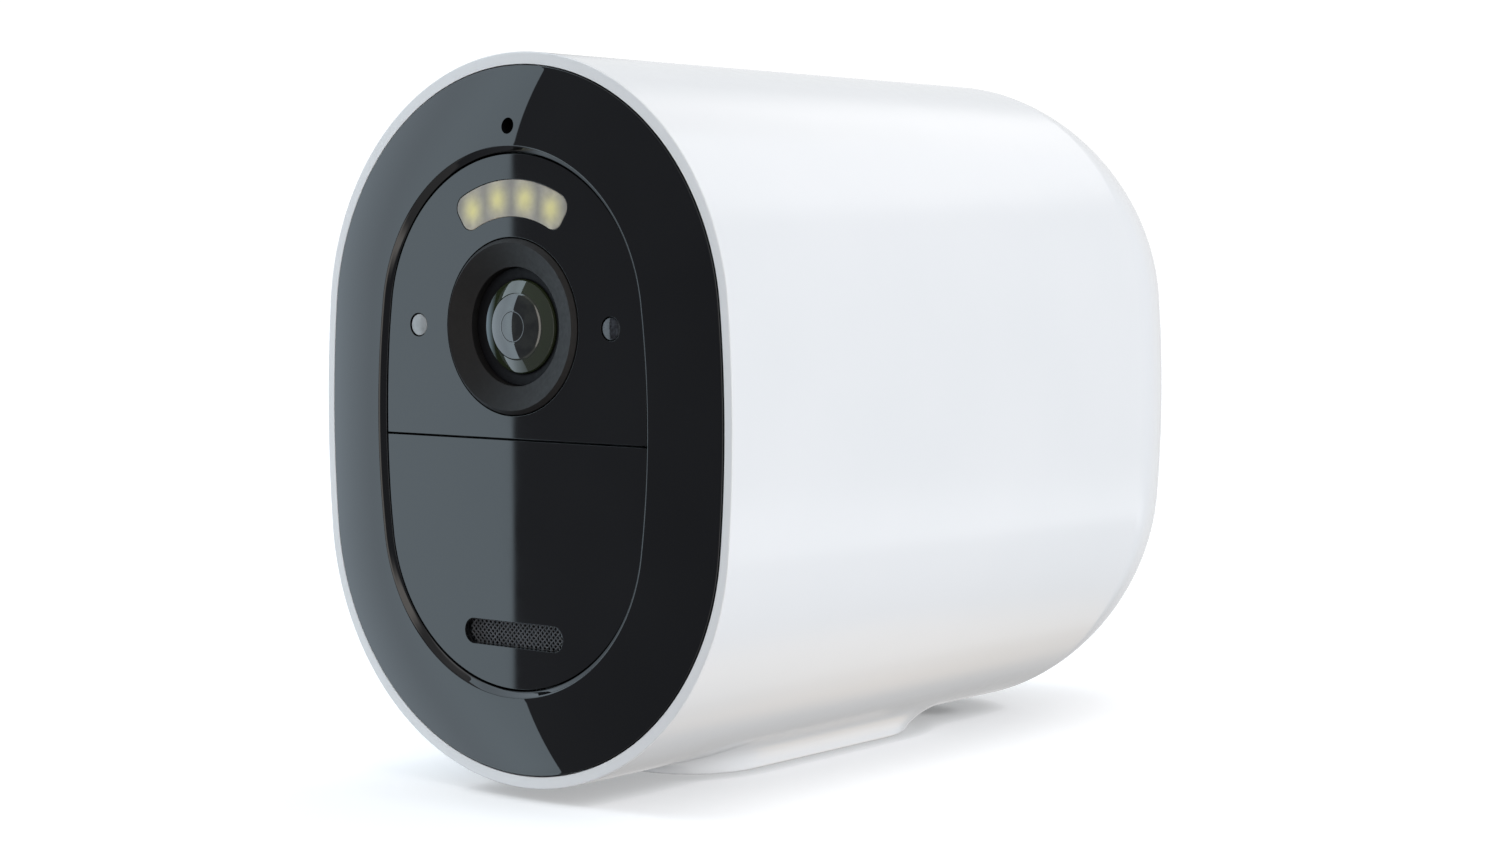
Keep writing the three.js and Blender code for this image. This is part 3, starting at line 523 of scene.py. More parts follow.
def frosted_window():
    """The floodlight's diffuser: opaque milky plastic with painted light, the four lamps behind it
    painted on as soft yellow spots, each in a lighter vertical band, and the plastic darker between the
    bands.
    """
    made = Finish("frosted_window", IOR=1.49)
    axes = made.node("ShaderNodeSeparateXYZ")
    made.link(made.where, axes.inputs[0])
    middle = (SPOT_INNER + SPOT_OUTER) / 2
    glow, painted_lamp_bands = None, None
    # painted light: each lamp is painted as a soft spot inside a lighter vertical band
    for turn in SPOT_LEDS:
        x = ORIGIN[0] + middle * MM * math.sin(turn)
        z = ORIGIN[2] + (LENS_Z + middle * math.cos(turn)) * MM
        dx = made.maths("DIVIDE", made.maths("SUBTRACT", axes.outputs["X"], x), 1.2 * MM)
        dz = made.maths("DIVIDE", made.maths("SUBTRACT", axes.outputs["Z"], z), 1.35 * MM)
        square = made.maths("ADD", made.maths("POWER", made.maths("ABSOLUTE", dx), 2.0),
                            made.maths("POWER", made.maths("ABSOLUTE", dz), 2.0))
        spot = made.maths("EXPONENT", made.maths("MULTIPLY", square, -1.0))
        near = made.maths("EXPONENT", made.maths("MULTIPLY", made.maths("MULTIPLY", dx, dx), -0.45))
        glow = spot if glow is None else made.maths("MAXIMUM", glow, spot)
        painted_lamp_bands = near if painted_lamp_bands is None else made.maths("MAXIMUM", painted_lamp_bands, near)
    cloud = made.ranged(made.noise(1.1), 0, 1)
    dull = made.mixed(cloud, (0.36, 0.33, 0.29), (0.52, 0.48, 0.41))
    # the window is painted darker between the lamps' bands
    body = made.mixed(painted_lamp_bands, (0.22, 0.21, 0.20), dull)
    painted_lamp_glow = made.maths("MULTIPLY", glow, made.ranged(cloud, 0.80, 0.95, 0, 1))
    made.link(made.mixed(painted_lamp_glow, body, (0.86, 0.79, 0.33)), made.shader.inputs["Base Color"])
    made.roughness(0.28, 0.36, 1.0)
    return made.bump(0.004, 0.35).material


def milky_window():
    made = Finish("milky_window", IOR=1.49)
    made.colours((0.30, 0.32, 0.33), (0.38, 0.40, 0.41), 0.9)
    return made.roughness(0.12, 0.2, 1.2).material


def smoked_window():
    made = Finish("smoked_window", IOR=1.49)
    made.colours((0.006, 0.006, 0.008), (0.05, 0.055, 0.065), 0.35, 4)
    return made.roughness(0.03, 0.07, 1).material


def metal(name, dark, light, low, high, stretch=None):
    made = Finish(name, Metallic=1.0)
    made.colours(dark, light, 1.2, 4, stretch)
    made.roughness(low, high, 0.7, 4, stretch)
    return made.bump(0.003, 0.3, 2.0, stretch).material


def circuit_board():
    made = Finish("circuit_board", IOR=1.5)
    traces = made.node("ShaderNodeTexBrick")
    traces.inputs["Scale"].default_value = 900
    traces.inputs["Color1"].default_value = (0.010, 0.060, 0.030, 1)
    traces.inputs["Color2"].default_value = (0.014, 0.080, 0.040, 1)
    traces.inputs["Mortar"].default_value = (0.05, 0.14, 0.07, 1)
    traces.inputs["Mortar Size"].default_value = 0.02
    turned = made.node("ShaderNodeMapping")
    turned.inputs["Rotation"].default_value = (math.pi / 2, 0, 0)
    made.link(made.where, turned.inputs["Vector"])
    made.link(turned.outputs["Vector"], traces.inputs["Vector"])
    made.link(traces.outputs["Color"], made.shader.inputs["Base Color"])
    return made.roughness(0.3, 0.45, 1.5).material


def lamp_chip():
    made = Finish("lamp_chip", IOR=1.5)
    made.colours((0.55, 0.50, 0.16), (0.66, 0.60, 0.22), 0.4)
    return made.roughness(0.3, 0.5, 0.5).material


def battery_plastic():
    made = Finish("battery_plastic", IOR=1.46)
    made.colours((0.022, 0.023, 0.026), (0.034, 0.035, 0.038), 2)
    made.roughness(0.42, 0.58, 0.6)
    return made.bump(0.012, 0.2, 1.0).material


LOOK = {
    "white_plastic": white_plastic(),
    "black_gloss": black_gloss(),
    "black_panel": black_panel(),
    "black_matt": black_matt(),
    "grey_plastic": grey_plastic(),
    "rubber": rubber(),
    "lens_glass": lens_glass(),
    "inner_glass": inner_glass(),
    "frosted": frosted_window(),
    "milky": milky_window(),
    "smoked": smoked_window(),
    "led": lamp_chip(),
    "circuit_board": circuit_board(),
    "steel": metal("steel", (0.50, 0.51, 0.52), (0.62, 0.63, 0.64), 0.22, 0.36),
    "brass": metal("brass", (0.62, 0.44, 0.18), (0.74, 0.54, 0.24), 0.2, 0.34),
    "card": black_matt("card", (0.35, 0.5), (0.014, 0.016, 0.020)),
    "battery_plastic": battery_plastic(),
}


# ---------------------------------------------------------------- the white sleeve
TURNS = oval_turns(SLEEVE, 24, 92)
RIM_ROUND, RECESS_ROUND = 0.16, 0.05
FOOT_EDGE, FOOT_FLAT = 0.6, 8.6
PATCH_FRONT, PATCH_REAR, PATCH_TURN = 11, 73.2, math.radians(36)
FLARE_LEAST, FLARE_PER_RISE, FLARE_BEHIND = 1.8, 0.72, 1.7
LEAN_LEAST, LEAN_LOW, LEAN_BEHIND = 15, 35, 16


def dome_rows(inset, steps):
    """(grow, y) of the domed back, from the straight wall to its flat end."""
    start = SLEEVE_REAR - inset - DOME_DEPTH
    rows = []
    for i in range(1, steps + 1):
        turn = math.pi / 2 * i / steps
        along = math.sin(turn) ** (2 / DOME_POWER)
        across = max(math.cos(turn), 0) ** (2 / DOME_POWER)
        rows.append((-inset - DOME_INSET * (1 - across), start + DOME_DEPTH * along))
    return rows


def shell_height(x):
    """Height of the sleeve's underside over X."""
    a, b, r = SLEEVE
    return -(b - r) - np.sqrt(r * r - x * x)


def foot_patch(solid, border):
    """Rounds of quads from the sleeve's wall down over the foot's flank to its flat bottom."""
    edge = np.array([solid.points[i] for i in border])
    core = np.stack([np.zeros(len(edge)), np.clip(edge[:, 1], FOOT_FRONT, FOOT_REAR)], 1)
    away = edge[:, :2] - core
    reach = np.linalg.norm(away, axis=1)
    away /= reach[:, None]
    low = FOOT_BOTTOM + FOOT_EDGE
    width = np.full(len(edge), 3.0)
    behind = np.maximum(away[:, 1], 0)
    for _ in range(40):
        rise = shell_height(away[:, 0] * (FOOT_HALF + width)) - low
        flare = FLARE_LEAST + FLARE_PER_RISE * rise + FLARE_BEHIND * behind
        width = 0.5 * width + 0.5 * flare
    low_share = 1 - np.clip((rise - 0.6) / 3.9, 0, 1)
    lean = np.radians(LEAN_LEAST + LEAN_LOW * low_share + LEAN_BEHIND * behind)

    def loop(out, z):
        flat = core + away * out[:, None]
        return solid.add(np.column_stack([flat, z]))

    loops = [loop(np.full(len(edge), FOOT_FLAT), np.full(len(edge), FOOT_BOTTOM))]
    centre = FOOT_HALF - FOOT_EDGE
    for k in range(6):
        turn = (math.pi / 2 - lean) * k / 5
        loops.append(loop(centre + FOOT_EDGE * np.sin(turn), low - FOOT_EDGE * np.cos(turn)))
    first = np.stack([centre + FOOT_EDGE * np.cos(lean), low - FOOT_EDGE * np.sin(lean)])
    last_out = FOOT_HALF + width
    x = away[:, 0] * last_out
    last = np.stack([last_out, shell_height(x)])
    slope = x * away[:, 0] / np.sqrt(SLEEVE[2] ** 2 - x * x)
    run = np.stack([np.ones(len(edge)), slope]) / np.sqrt(1 + slope**2)
    second = first + np.stack([np.sin(lean), np.cos(lean)]) * 0.5 * rise
    third = last - run * 0.55 * width
    for k in range(1, 13):
        t = k / 12
        point = (1 - t) ** 3 * first + 3 * t * (1 - t) ** 2 * second
        point = point + 3 * t * t * (1 - t) * third + t**3 * last
        loops.append(loop(point[0], point[1]))
    for share in (0.12, 0.3, 0.52, 0.76):
        out = last_out + (reach - last_out) * share
        loops.append(loop(out, shell_height(away[:, 0] * out)))
    loops.append(border)
    for a, b in zip(loops, loops[1:]):
        solid.strip(a, b)
    solid.cap([loops[0]], (0, 1))


def sleeve_solid():
    solid = Solid()
    rows = [(RECESS, 0.0, RECESS_DEPTH), (RECESS, 0.0, SLEEVE_FRONT + RECESS_ROUND)]
    for k in range(1, 4):
        turn = math.pi / 2 * k / 3
        grow = RECESS_ROUND * (1 - math.cos(turn))
        rows.append((RECESS, grow, SLEEVE_FRONT + RECESS_ROUND * (1 - math.sin(turn))))
    for k in range(6):
        turn = math.pi / 2 * k / 5
        grow = -RIM_ROUND * (1 - math.sin(turn))
        rows.append((SLEEVE, grow, SLEEVE_FRONT + RIM_ROUND * (1 - math.cos(turn))))
    start = SLEEVE_REAR - DOME_DEPTH
    straight = len(rows)
    rows += [(SLEEVE, 0.0, y) for y in np.linspace(1.0, start, 43)]
    rows += [(SLEEVE, grow, y) for grow, y in dome_rows(0.0, 44)]
    loops = [solid.add(at_depth(oval(shape, TURNS, grow), y)) for shape, grow, y in rows]

    bottom = (TURNS + math.pi / 2 + math.pi) % (2 * math.pi) - math.pi
    under = sorted(np.flatnonzero(np.abs(bottom) < PATCH_TURN), key=lambda j: bottom[j])
    first = next(i for i in range(straight, len(rows)) if rows[i][2] > PATCH_FRONT)
    last = next(i for i in range(straight, len(rows)) if rows[i][2] > PATCH_REAR)
    skip = set(under[:-1])
    for i, (a, b) in enumerate(zip(loops, loops[1:])):
        for j in range(len(TURNS)):
            if first <= i < last and j in skip:
                continue
            k = (j + 1) % len(TURNS)
            solid.faces.append((a[j], a[k], b[k], b[j]))
    border = [loops[first][j] for j in under]
    border += [loops[i][under[-1]] for i in range(first + 1, last)]
    border += [loops[last][j] for j in reversed(under)]
    border += [loops[i][under[0]] for i in range(last - 1, first, -1)]
    foot_patch(solid, border)
    solid.cap([loops[-1]])

    inner_start = SLEEVE_REAR - WALL - DOME_DEPTH
    inner = [(-WALL, y) for y in np.linspace(RECESS_DEPTH, inner_start, 15)] + dome_rows(WALL, 16)
    inner_loops = [solid.add(at_depth(oval(SLEEVE, TURNS, grow), y)) for grow, y in inner]
    for a, b in zip(inner_loops, inner_loops[1:]):
        solid.strip(a, b)
    solid.cap([inner_loops[-1]])
    solid.strip(loops[0], inner_loops[0])
    return solid


def make_housing():
    housing = sleeve_solid().make("housing")
    blocks = [standing(circle(0, INSERT_Y, 7.0, 64), [(0, -39.3), (0, -35.3), (-0.4, -34.9)])]
    front, rear = HINGE_LUG_Y
    for side in (-1, 1):
        left = side * HINGE_LUG_X - HINGE_LUG_THICK / 2
        right = left + HINGE_LUG_THICK
        outline = np.array([(left, front), (right, front), (right, rear), (left, rear)])
        blocks.append(standing(outline, [(0, -38.8), (0, -34.5), (-0.3, -34.2)]))
    combine(housing, several("bosses", blocks), "UNION")
    below = FOOT_BOTTOM - 0.5
    mouth = [(0.8, below), (0, FOOT_BOTTOM + 0.3)]
    holes = [
        standing(circle(0, INSERT_Y, INSERT_HOLE, 64), [*mouth, (0, -35.75)]),
        standing(obround(*PORT_HOLE, 0, PORT_Y), [*mouth, (0, -37.0)]),
        standing(obround(*BUTTON_HOLE, 0, BUTTON_Y), [(0, below), (0, -37.9)]),
    ]
    return combine(housing, several("holes", holes), "DIFFERENCE")


piece(make_housing(), "sleeve", ["housing_shell"], "white_plastic", LOOK["white_plastic"], 38)


# ---------------------------------------------------------------- the black front
def bezel_height(share):
    """Y of the bezel's face between its inner edge, 0, and its outer edge, 1."""
    climb = BEZEL_FLATTER * share + (1 - BEZEL_FLATTER) * share**2
    return -BEZEL_RISE + (BEZEL_RISE + BEZEL_EDGE) * climb


def make_bezel():
    turns = oval_turns(BEZEL, 40, 130)
    inner, outer = oval(BEZEL_INNER, turns), oval(BEZEL, turns)
    low = oval(BEZEL_INNER, turns, -BEZEL_CHAMFER)
    solid = Solid()
    loops = []

    def ring(outline, y):
        loops.append(solid.add(at_depth(outline, y)))

    ring(low, BEZEL_BACK)
    ring(low, BEZEL_CHAMFER - BEZEL_RISE + 0.03)
    ring(low + (inner - low) * 0.04, BEZEL_CHAMFER - BEZEL_RISE - 0.015)
    for k in range(1, 6):
        share = 0.04 + 0.93 * k / 5
        ring(low + (inner - low) * share, -BEZEL_RISE + BEZEL_CHAMFER * (1 - share))
    for share in (0.0015, 0.006, 0.02, *np.linspace(0.06, 0.96, 30), 0.975):
        ring(inner + (outer - inner) * share, bezel_height(share) + (0.003 if share < 0.01 else 0))
    slope = bezel_height(1) - bezel_height(0.98)
    for k in range(5):
        turn = math.pi / 2 * k / 4
        share = 1 - BEZEL_ROUND / BEZEL_WIDTH * (1 - math.sin(turn))
        drop = BEZEL_ROUND * (1 - math.cos(turn))
        ring(inner + (outer - inner) * share, BEZEL_EDGE - slope * 0.5 + drop)
    ring(outer, BEZEL_BACK)
    for a, b in zip(loops, loops[1:] + loops[:1]):
        solid.strip(a, b)
    bezel = solid.make("bezel")
    hole = lathe("hole", [(0, -3), (MIC_RADIUS + 0.5, -3), (MIC_RADIUS, -1.2), (MIC_RADIUS, 4), (0, 4)],
                 0, MIC_Z, 64)
    return combine(bezel, hole, "DIFFERENCE")


def panel_outline(above):
    """The inner panel's oval, above or below the seam."""
    points = oval(PANEL, oval_turns(PANEL, 40, 130))
    cut = SEAM_Z + (SEAM_GAP / 2 if above else -SEAM_GAP / 2)
    sign = 1 if above else -1
    kept = (points[:, 1] - cut) * sign > 0
    start = next(i for i in range(len(points)) if kept[i] and not kept[i - 1])
    order = [(start + k) % len(points) for k in range(int(kept.sum()))]
    before, after = points[start - 1], points[(start + len(order)) % len(points)]

    def cross(p, q):
        t = (cut - p[1]) / (q[1] - p[1])
        return p + (q - p) * t

    ends = [cross(before, points[start]), cross(points[order[-1]], after)]
    seam = [ends[1] + (ends[0] - ends[1]) * t for t in np.linspace(0, 1, 41)]
    return np.array([*points[order], *seam])


def make_lens_panel():
    holes = [circle(0, LENS_Z, LENS_HOLE, 120), arch()]
    holes += [circle(side * SIDE_X, LENS_Z, SIDE_HOLE, 48) for side in (-1, 1)]
    return panel("lens_fascia", panel_outline(True), holes, PANEL_FRONT, PANEL_BACK)


def make_motion_panel():
    slot = obround(SPEAKER_HALF, SPEAKER_RADIUS, 0, SPEAKER_Z)
    return panel("motion_fascia", panel_outline(False), [slot], PANEL_FRONT, MOTION_BACK)


def speaker_wire(solid, start, end, phase):
    """One wire of the speaker's cloth, which goes over and under those that cross it."""
    start, end = np.array(start), np.array(end)
    length = np.linalg.norm(end - start)
    run = (end - start) / length
    across = np.array([-run[1], run[0]])
    steps = max(2, int(length / CLOTH_PITCH * 2))
    loops = []
    for k in range(steps + 1):
        along = length * k / steps
        middle = start + run * along
        y = CLOTH_DEPTH + WIRE_SWAY * math.sin(math.pi * along / CLOTH_PITCH + phase)
        ring = []
        for i in range(WIRE_SIDES):
            turn = 2 * math.pi * i / WIRE_SIDES
            flat = middle + across * WIRE_RADIUS * math.cos(turn)
            ring.append((flat[0], y + WIRE_RADIUS * math.sin(turn), flat[1]))
        loops.append(solid.add(ring))
    for a, b in zip(loops, loops[1:]):
        solid.strip(a, b)
    solid.faces.append(tuple(loops[0]))
    solid.faces.append(tuple(reversed(loops[-1])))


def make_speaker_cloth():
    solid = Solid()
    count = int((CLOTH_HALF + CLOTH_RADIUS) * 1.5 / CLOTH_PITCH)
    for sign in (1, -1):
        for k in range(-count, count + 1):
            # the wire is the line z = sign * (x - shift), kept inside the obround
            shift = k * CLOTH_PITCH * math.sqrt(2)
            xs = np.linspace(shift - CLOTH_RADIUS, shift + CLOTH_RADIUS, 400)
            zs = sign * (xs - shift)
            over = np.maximum(np.abs(xs) - (CLOTH_HALF - CLOTH_RADIUS), 0)
            inside = over**2 + zs**2 < CLOTH_RADIUS**2
            if inside.sum() < 12:
                continue
            ends = [(x, SPEAKER_Z + sign * (x - shift)) for x in (xs[inside][0], xs[inside][-1])]
            phase = math.pi * (k % 2) + (0 if sign > 0 else math.pi)
            speaker_wire(solid, *ends, phase)
    return solid.make("speaker_cloth")


def make_side_window(name, side):
    front = PANEL_FRONT + SIDE_SUNK
    section = [(0, front), (SIDE_RADIUS, front), (SIDE_RADIUS, WINDOW_BACK), (0, WINDOW_BACK)]
    return lathe(name, softened(section, [0, 0.05, 0, 0]), side * SIDE_X, LENS_Z, 48)


def make_floodlight_window():
    outline = offset(arch(), -0.04)
    return panel("floodlight_window", outline, [], PANEL_FRONT + 0.01, WINDOW_BACK, 0.07, 0.2)


CAMERA = "camera_module"
cloth_black = black_matt("speaker_cloth", (0.28, 0.36), (0.085, 0.091, 0.10))
for made, node, slot, look, sharp, weighted in (
    (make_bezel(), "front_bezel", "black_gloss", LOOK["black_gloss"], 30, True),
    (make_lens_panel(), "lens_panel", "black_panel", LOOK["black_panel"], 30, True),
    (make_motion_panel(), "motion_panel", "black_panel", LOOK["black_panel"], 30, True),
    (make_speaker_cloth(), "speaker_mesh", "black_matt", cloth_black, 60, False),
    (make_floodlight_window(), "spotlight_window", "frosted", LOOK["frosted"], 50, True),
    (make_side_window("status_lens", -1), "status_window", "frosted", LOOK["milky"], 50, True),
    (make_side_window("night_lens", 1), "ir_window", "smoked", LOOK["smoked"], 50, True),
):
    piece(made, CAMERA, [node], slot, look, sharp, weighted)


# ---------------------------------------------------------------- the lens
def spherical(radius, edge, apex, steps):
    """(radius, y) up a spherical face from its axis to its edge."""
    rise = edge - apex
    curve = (radius**2 + rise**2) / (2 * rise)
    out = []
    for r in np.linspace(0, radius, steps):
        out.append((r, apex + curve - math.copysign(math.sqrt(curve**2 - r * r), curve)))
    return out


def make_hood():
    return lathe("lens_hood", softened(HOOD, [0.05, 0.03, 0.03, 0, 0]), 0, LENS_Z, 144)


def make_retainer():
    return lathe("retaining_ring", softened(RETAINER, [0.04, 0, 0.04, 0, 0]), 0, LENS_Z, 120)


def make_front_glass():
    """A dome with a fine ridge round its middle, and a sloping ring round the dome."""
    dome = []
    for r, y in spherical(GLASS_DOME_RADIUS, GLASS_DOME_EDGE, GLASS_DOME_APEX, 60):
        ridge = math.exp(-((r - GLASS_RIDGE_RADIUS) / GLASS_RIDGE_WIDTH) ** 2)
        dome.append((r, y - GLASS_RIDGE_HEIGHT * ridge))
    rim = softened(GLASS_RIM, [0, 0.04, 0.05, 0.05, 0, 0])
    return lathe("front_lens", dome + rim[1:], 0, LENS_Z, 144)


def make_barrel():
    section = [(BARREL_BORE, BARREL_FRONT), (BARREL_RADIUS, BARREL_FRONT),
               (BARREL_RADIUS, BARREL_BACK), (BARREL_BORE, BARREL_BACK), (BARREL_BORE, 8.3)]
    for k in range(BARREL_GROOVES):
        y = 4.9 - BARREL_GROOVE_PITCH * k
        section += [(BARREL_BORE, y), (BARREL_BORE - BARREL_GROOVE_DEPTH, y - BARREL_GROOVE_PITCH / 2)]
    return lathe("barrel", section, 0, LENS_Z, 96)


def make_rear_glass():
    front = spherical(REAR_RADIUS, *REAR_FRONT, 14)
    back = spherical(REAR_RADIUS, *REAR_BACK, 14)
    return lathe("rear_lens", [*front, *reversed(back)], 0, LENS_Z, 96)


hood_black = black_matt("hood_black", (0.50, 0.60), (0.0080, 0.0070, 0.0066), 1.36)
ring_black = black_matt("ring_black", (0.5, 0.6), (0.004, 0.004, 0.005), 1.22)
barrel_black = black_matt("barrel_black", (0.35, 0.5), (0.008, 0.008, 0.009))
for made, node, slot, look in (
    (make_hood(), "lens_trim", "black_matt", hood_black),
    (make_retainer(), "lens_retainer", "black_matt", ring_black),
    (make_front_glass(), "lens_front_element", "lens_glass", LOOK["lens_glass"]),
    (make_barrel(), "lens_barrel", "black_matt", barrel_black),
    (make_rear_glass(), "lens_rear_element", "lens_glass", LOOK["inner_glass"]),
):
    piece(made, CAMERA, [node], slot, look, 40)


# ---------------------------------------------------------------- CAD pieces with their own shape
SHOWN = {
    "black_matt": ["charge_port", "panel_carrier", "chassis", "lens_mount", "speaker_driver",
                   "battery_contact_block"],
    "grey_plastic": ["latch_button", "latch_lever", "sync_button", "battery_catch"],
    "rubber": ["module_seal"],
    "steel": ["latch_pin", "latch_spring", "microphone", "motion_sensor", "processor_shield",
              "cellular_modem", "sim_socket", "memory_card_socket", "sync_switch", "bezel_screw_1",
              "bezel_screw_2", "bezel_screw_3", "bezel_screw_4"],
    "brass": ["tripod_insert", "charge_pin_left", "charge_pin_right", "ir_cut_coil",
              "cellular_antenna", "wifi_antenna", "charge_contact_plate"],
    "circuit_board": ["sensor_board", "front_board", "motion_sensor_board", "main_board"],
    "led": ["spotlight_led_1", "spotlight_led_2", "spotlight_led_3", "spotlight_led_4", "status_led"],
    "inner_glass": ["ir_cut_filter"],
    "smoked": ["ir_led"],
    "card": ["image_sensor", "sim_card", "memory_card"],
    "battery_plastic": ["battery_pack"],
}
ROUNDED = {"chassis": 0.12, "battery_pack": 0.3, "latch_button": 0.15, "latch_lever": 0.1,
           "sync_button": 0.2, "battery_catch": 0.12, "charge_port": 0.12, "sim_card": 0.05,
           "memory_card": 0.05, "charge_contact_plate": 0.1, "processor_shield": 0.15,
           "cellular_modem": 0.12, "lens_mount": 0.15}

for look, names in SHOWN.items():
    for name in names:
        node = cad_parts[name]
        node.data.materials.clear()
        node.data.materials.append(LOOK[look])
        if name in ROUNDED:
            modifier = node.modifiers.new("edge", "BEVEL")
            modifier.width = ROUNDED[name] * MM
            modifier.segments = 2
            modifier.limit_method = "ANGLE"
            modifier.angle_limit = math.radians(40)
        node.data.polygons.foreach_set("use_smooth", [True] * len(node.data.polygons))
        node.data.set_sharp_from_angle(angle=math.radians(30))


# ---------------------------------------------------------------- studio
def glow(name, colour, strength):
    made = bpy.data.materials.new(name)
    made.use_nodes = True
    tree = made.node_tree
    tree.nodes.clear()
    out = tree.nodes.new("ShaderNodeOutputMaterial")
    light = tree.nodes.new("ShaderNodeEmission")
    light.inputs["Color"].default_value = (*colour, 1)
    light.inputs["Strength"].default_value = strength
    tree.links.new(light.outputs[0], out.inputs["Surface"])
    return made


class Sky:
    """The studio's light by direction: azimuth 0 is straight in front, positive to its left."""

    def __init__(self):
        world = bpy.data.worlds.new("studio")
        world.use_nodes = True
        bpy.context.scene.world = world
        self.tree = world.node_tree
        self.tree.nodes.clear()
        where = self.tree.nodes.new("ShaderNodeTexCoord").outputs["Generated"]
        axes = self.tree.nodes.new("ShaderNodeSeparateXYZ")
        self.tree.links.new(where, axes.inputs[0])
        x, y, z = axes.outputs
        left = self.maths("MULTIPLY", x, -1.0)
        ahead = self.maths("MULTIPLY", y, -1.0)
        self.azimuth = self.maths("DEGREES", self.maths("ARCTAN2", left, ahead))
        self.elevation = self.maths("DEGREES", self.maths("ARCSINE", z))
        self.total = None

    def maths(self, operation, first, second=None):
        return maths(self.tree, operation, first, second)

    def step(self, value, edge, soft):
        node = self.tree.nodes.new("ShaderNodeMapRange")
        node.interpolation_type = "SMOOTHSTEP"
        node.inputs["From Min"].default_value = edge - soft
        node.inputs["From Max"].default_value = edge + soft
        self.tree.links.new(value, node.inputs["Value"])
        return node.outputs["Result"]

    def window(self, azimuths, elevations, soft):
        """1 inside a box of directions and 0 outside. soft is each edge's half width, in degrees."""
        share = None
        sides = ((self.azimuth, azimuths, soft[:2]), (self.elevation, elevations, soft[2:]))
        for value, (low, high), (low_soft, high_soft) in sides:
            above = self.step(value, low, low_soft)
            below = self.maths("SUBTRACT", 1.0, self.step(value, high, high_soft))
            for part in (above, below):
                share = part if share is None else self.maths("MULTIPLY", share, part)
        return share

    def tint(self, share, colour):
        node = self.tree.nodes.new("ShaderNodeVectorMath")
        node.operation = "SCALE"
        node.inputs[0].default_value = colour
        self.tree.links.new(share, node.inputs["Scale"])
        return node.outputs[0]

    def add(self, share, colour):
        part = self.tint(share, colour)
        if self.total is None:
            self.total = part
            return
        node = self.tree.nodes.new("ShaderNodeVectorMath")
        node.operation = "ADD"
        self.tree.links.new(self.total, node.inputs[0])
        self.tree.links.new(part, node.inputs[1])
        self.total = node.outputs[0]

    def finish(self):
        background = self.tree.nodes.new("ShaderNodeBackground")
        out = self.tree.nodes.new("ShaderNodeOutputWorld")
        self.tree.links.new(self.total, background.inputs["Color"])
        self.tree.links.new(background.outputs[0], out.inputs["Surface"])


FLOOR_RINGS, FLOOR_Y, FLOOR_GLOW = (60, 300, 3000), 50, 0.36
# reaches of the floor's painted shadows, in millimetres
NEAR_REACH, TOUCH_REACH = 12, 3
CARD_EDGE = 43.31
SHADE = (0.19, 0.20, 0.225)


def light_studio():
    """Soft panels round a dark front. Each has its azimuths, elevations, softness and colour."""
    sky = Sky()
    sky.add(sky.step(sky.elevation, -91, 0.5), (0.02, 0.02, 0.02))
    for azimuths, elevations, soft, colour in (
        ((-84, 110), (-91, 91), (6, 4, 0.5, 0.5), SHADE),
        ((CARD_EDGE, 108), (-36, 66), (0.06, 4, 6, 6), (1.32, 1.58, 1.78)),
        ((CARD_EDGE, 54), (-36, 66), (0.06, 6, 6, 6), (0.32, 0.42, 0.46)),
        ((-40, -13), (-44, 46), (3, 4, 6, 6), (1.95, 1.84, 1.70)),
        ((-84, CARD_EDGE), (-90, -44), (6, 4, 1, 6), (0.27, 0.26, 0.24)),
        ((-84, CARD_EDGE), (44, 91), (6, 4, 6, 1), (0.25, 0.24, 0.22)),
        ((138, 181), (-18, 40), (3, 0.5, 8, 6), (0.84, 0.84, 0.84)),
        ((138, 181), (-90, -18), (3, 0.5, 1, 8), (0.52, 0.51, 0.50)),
        ((-181, -84), (-30, 58), (0.5, 12, 10, 12), (0.80, 0.83, 0.87)),
        ((-118, -66), (-30, 30), (12, 5, 12, 10), (1.66, 1.70, 1.76)),
        ((-181, -150), (27, 62), (0.5, 8, 3, 8), (0.85, 0.82, 0.80)),
        ((160, 181), (27, 62), (8, 0.5, 3, 8), (0.85, 0.82, 0.80)),
        ((-181, -84), (-90, -30), (0.5, 12, 1, 10), (0.74, 0.73, 0.71)),
        ((-181, -158), (-41, -31), (0.5, 6, 3, 3), (0.50, 0.34, 0.16)),
        ((165, 181), (-41, -31), (6, 0.5, 3, 3), (0.50, 0.34, 0.16)),
        ((-170, -138), (-13.5, -8.5), (6, 3, 1.2, 1.2), (0.6, 0.6, 0.6)),
    ):
        sky.add(sky.window(azimuths, elevations, soft), colour)
    sky.add(sky.step(sky.elevation, 66, 8), (1.05, 1.05, 1.05))
    sky.finish()


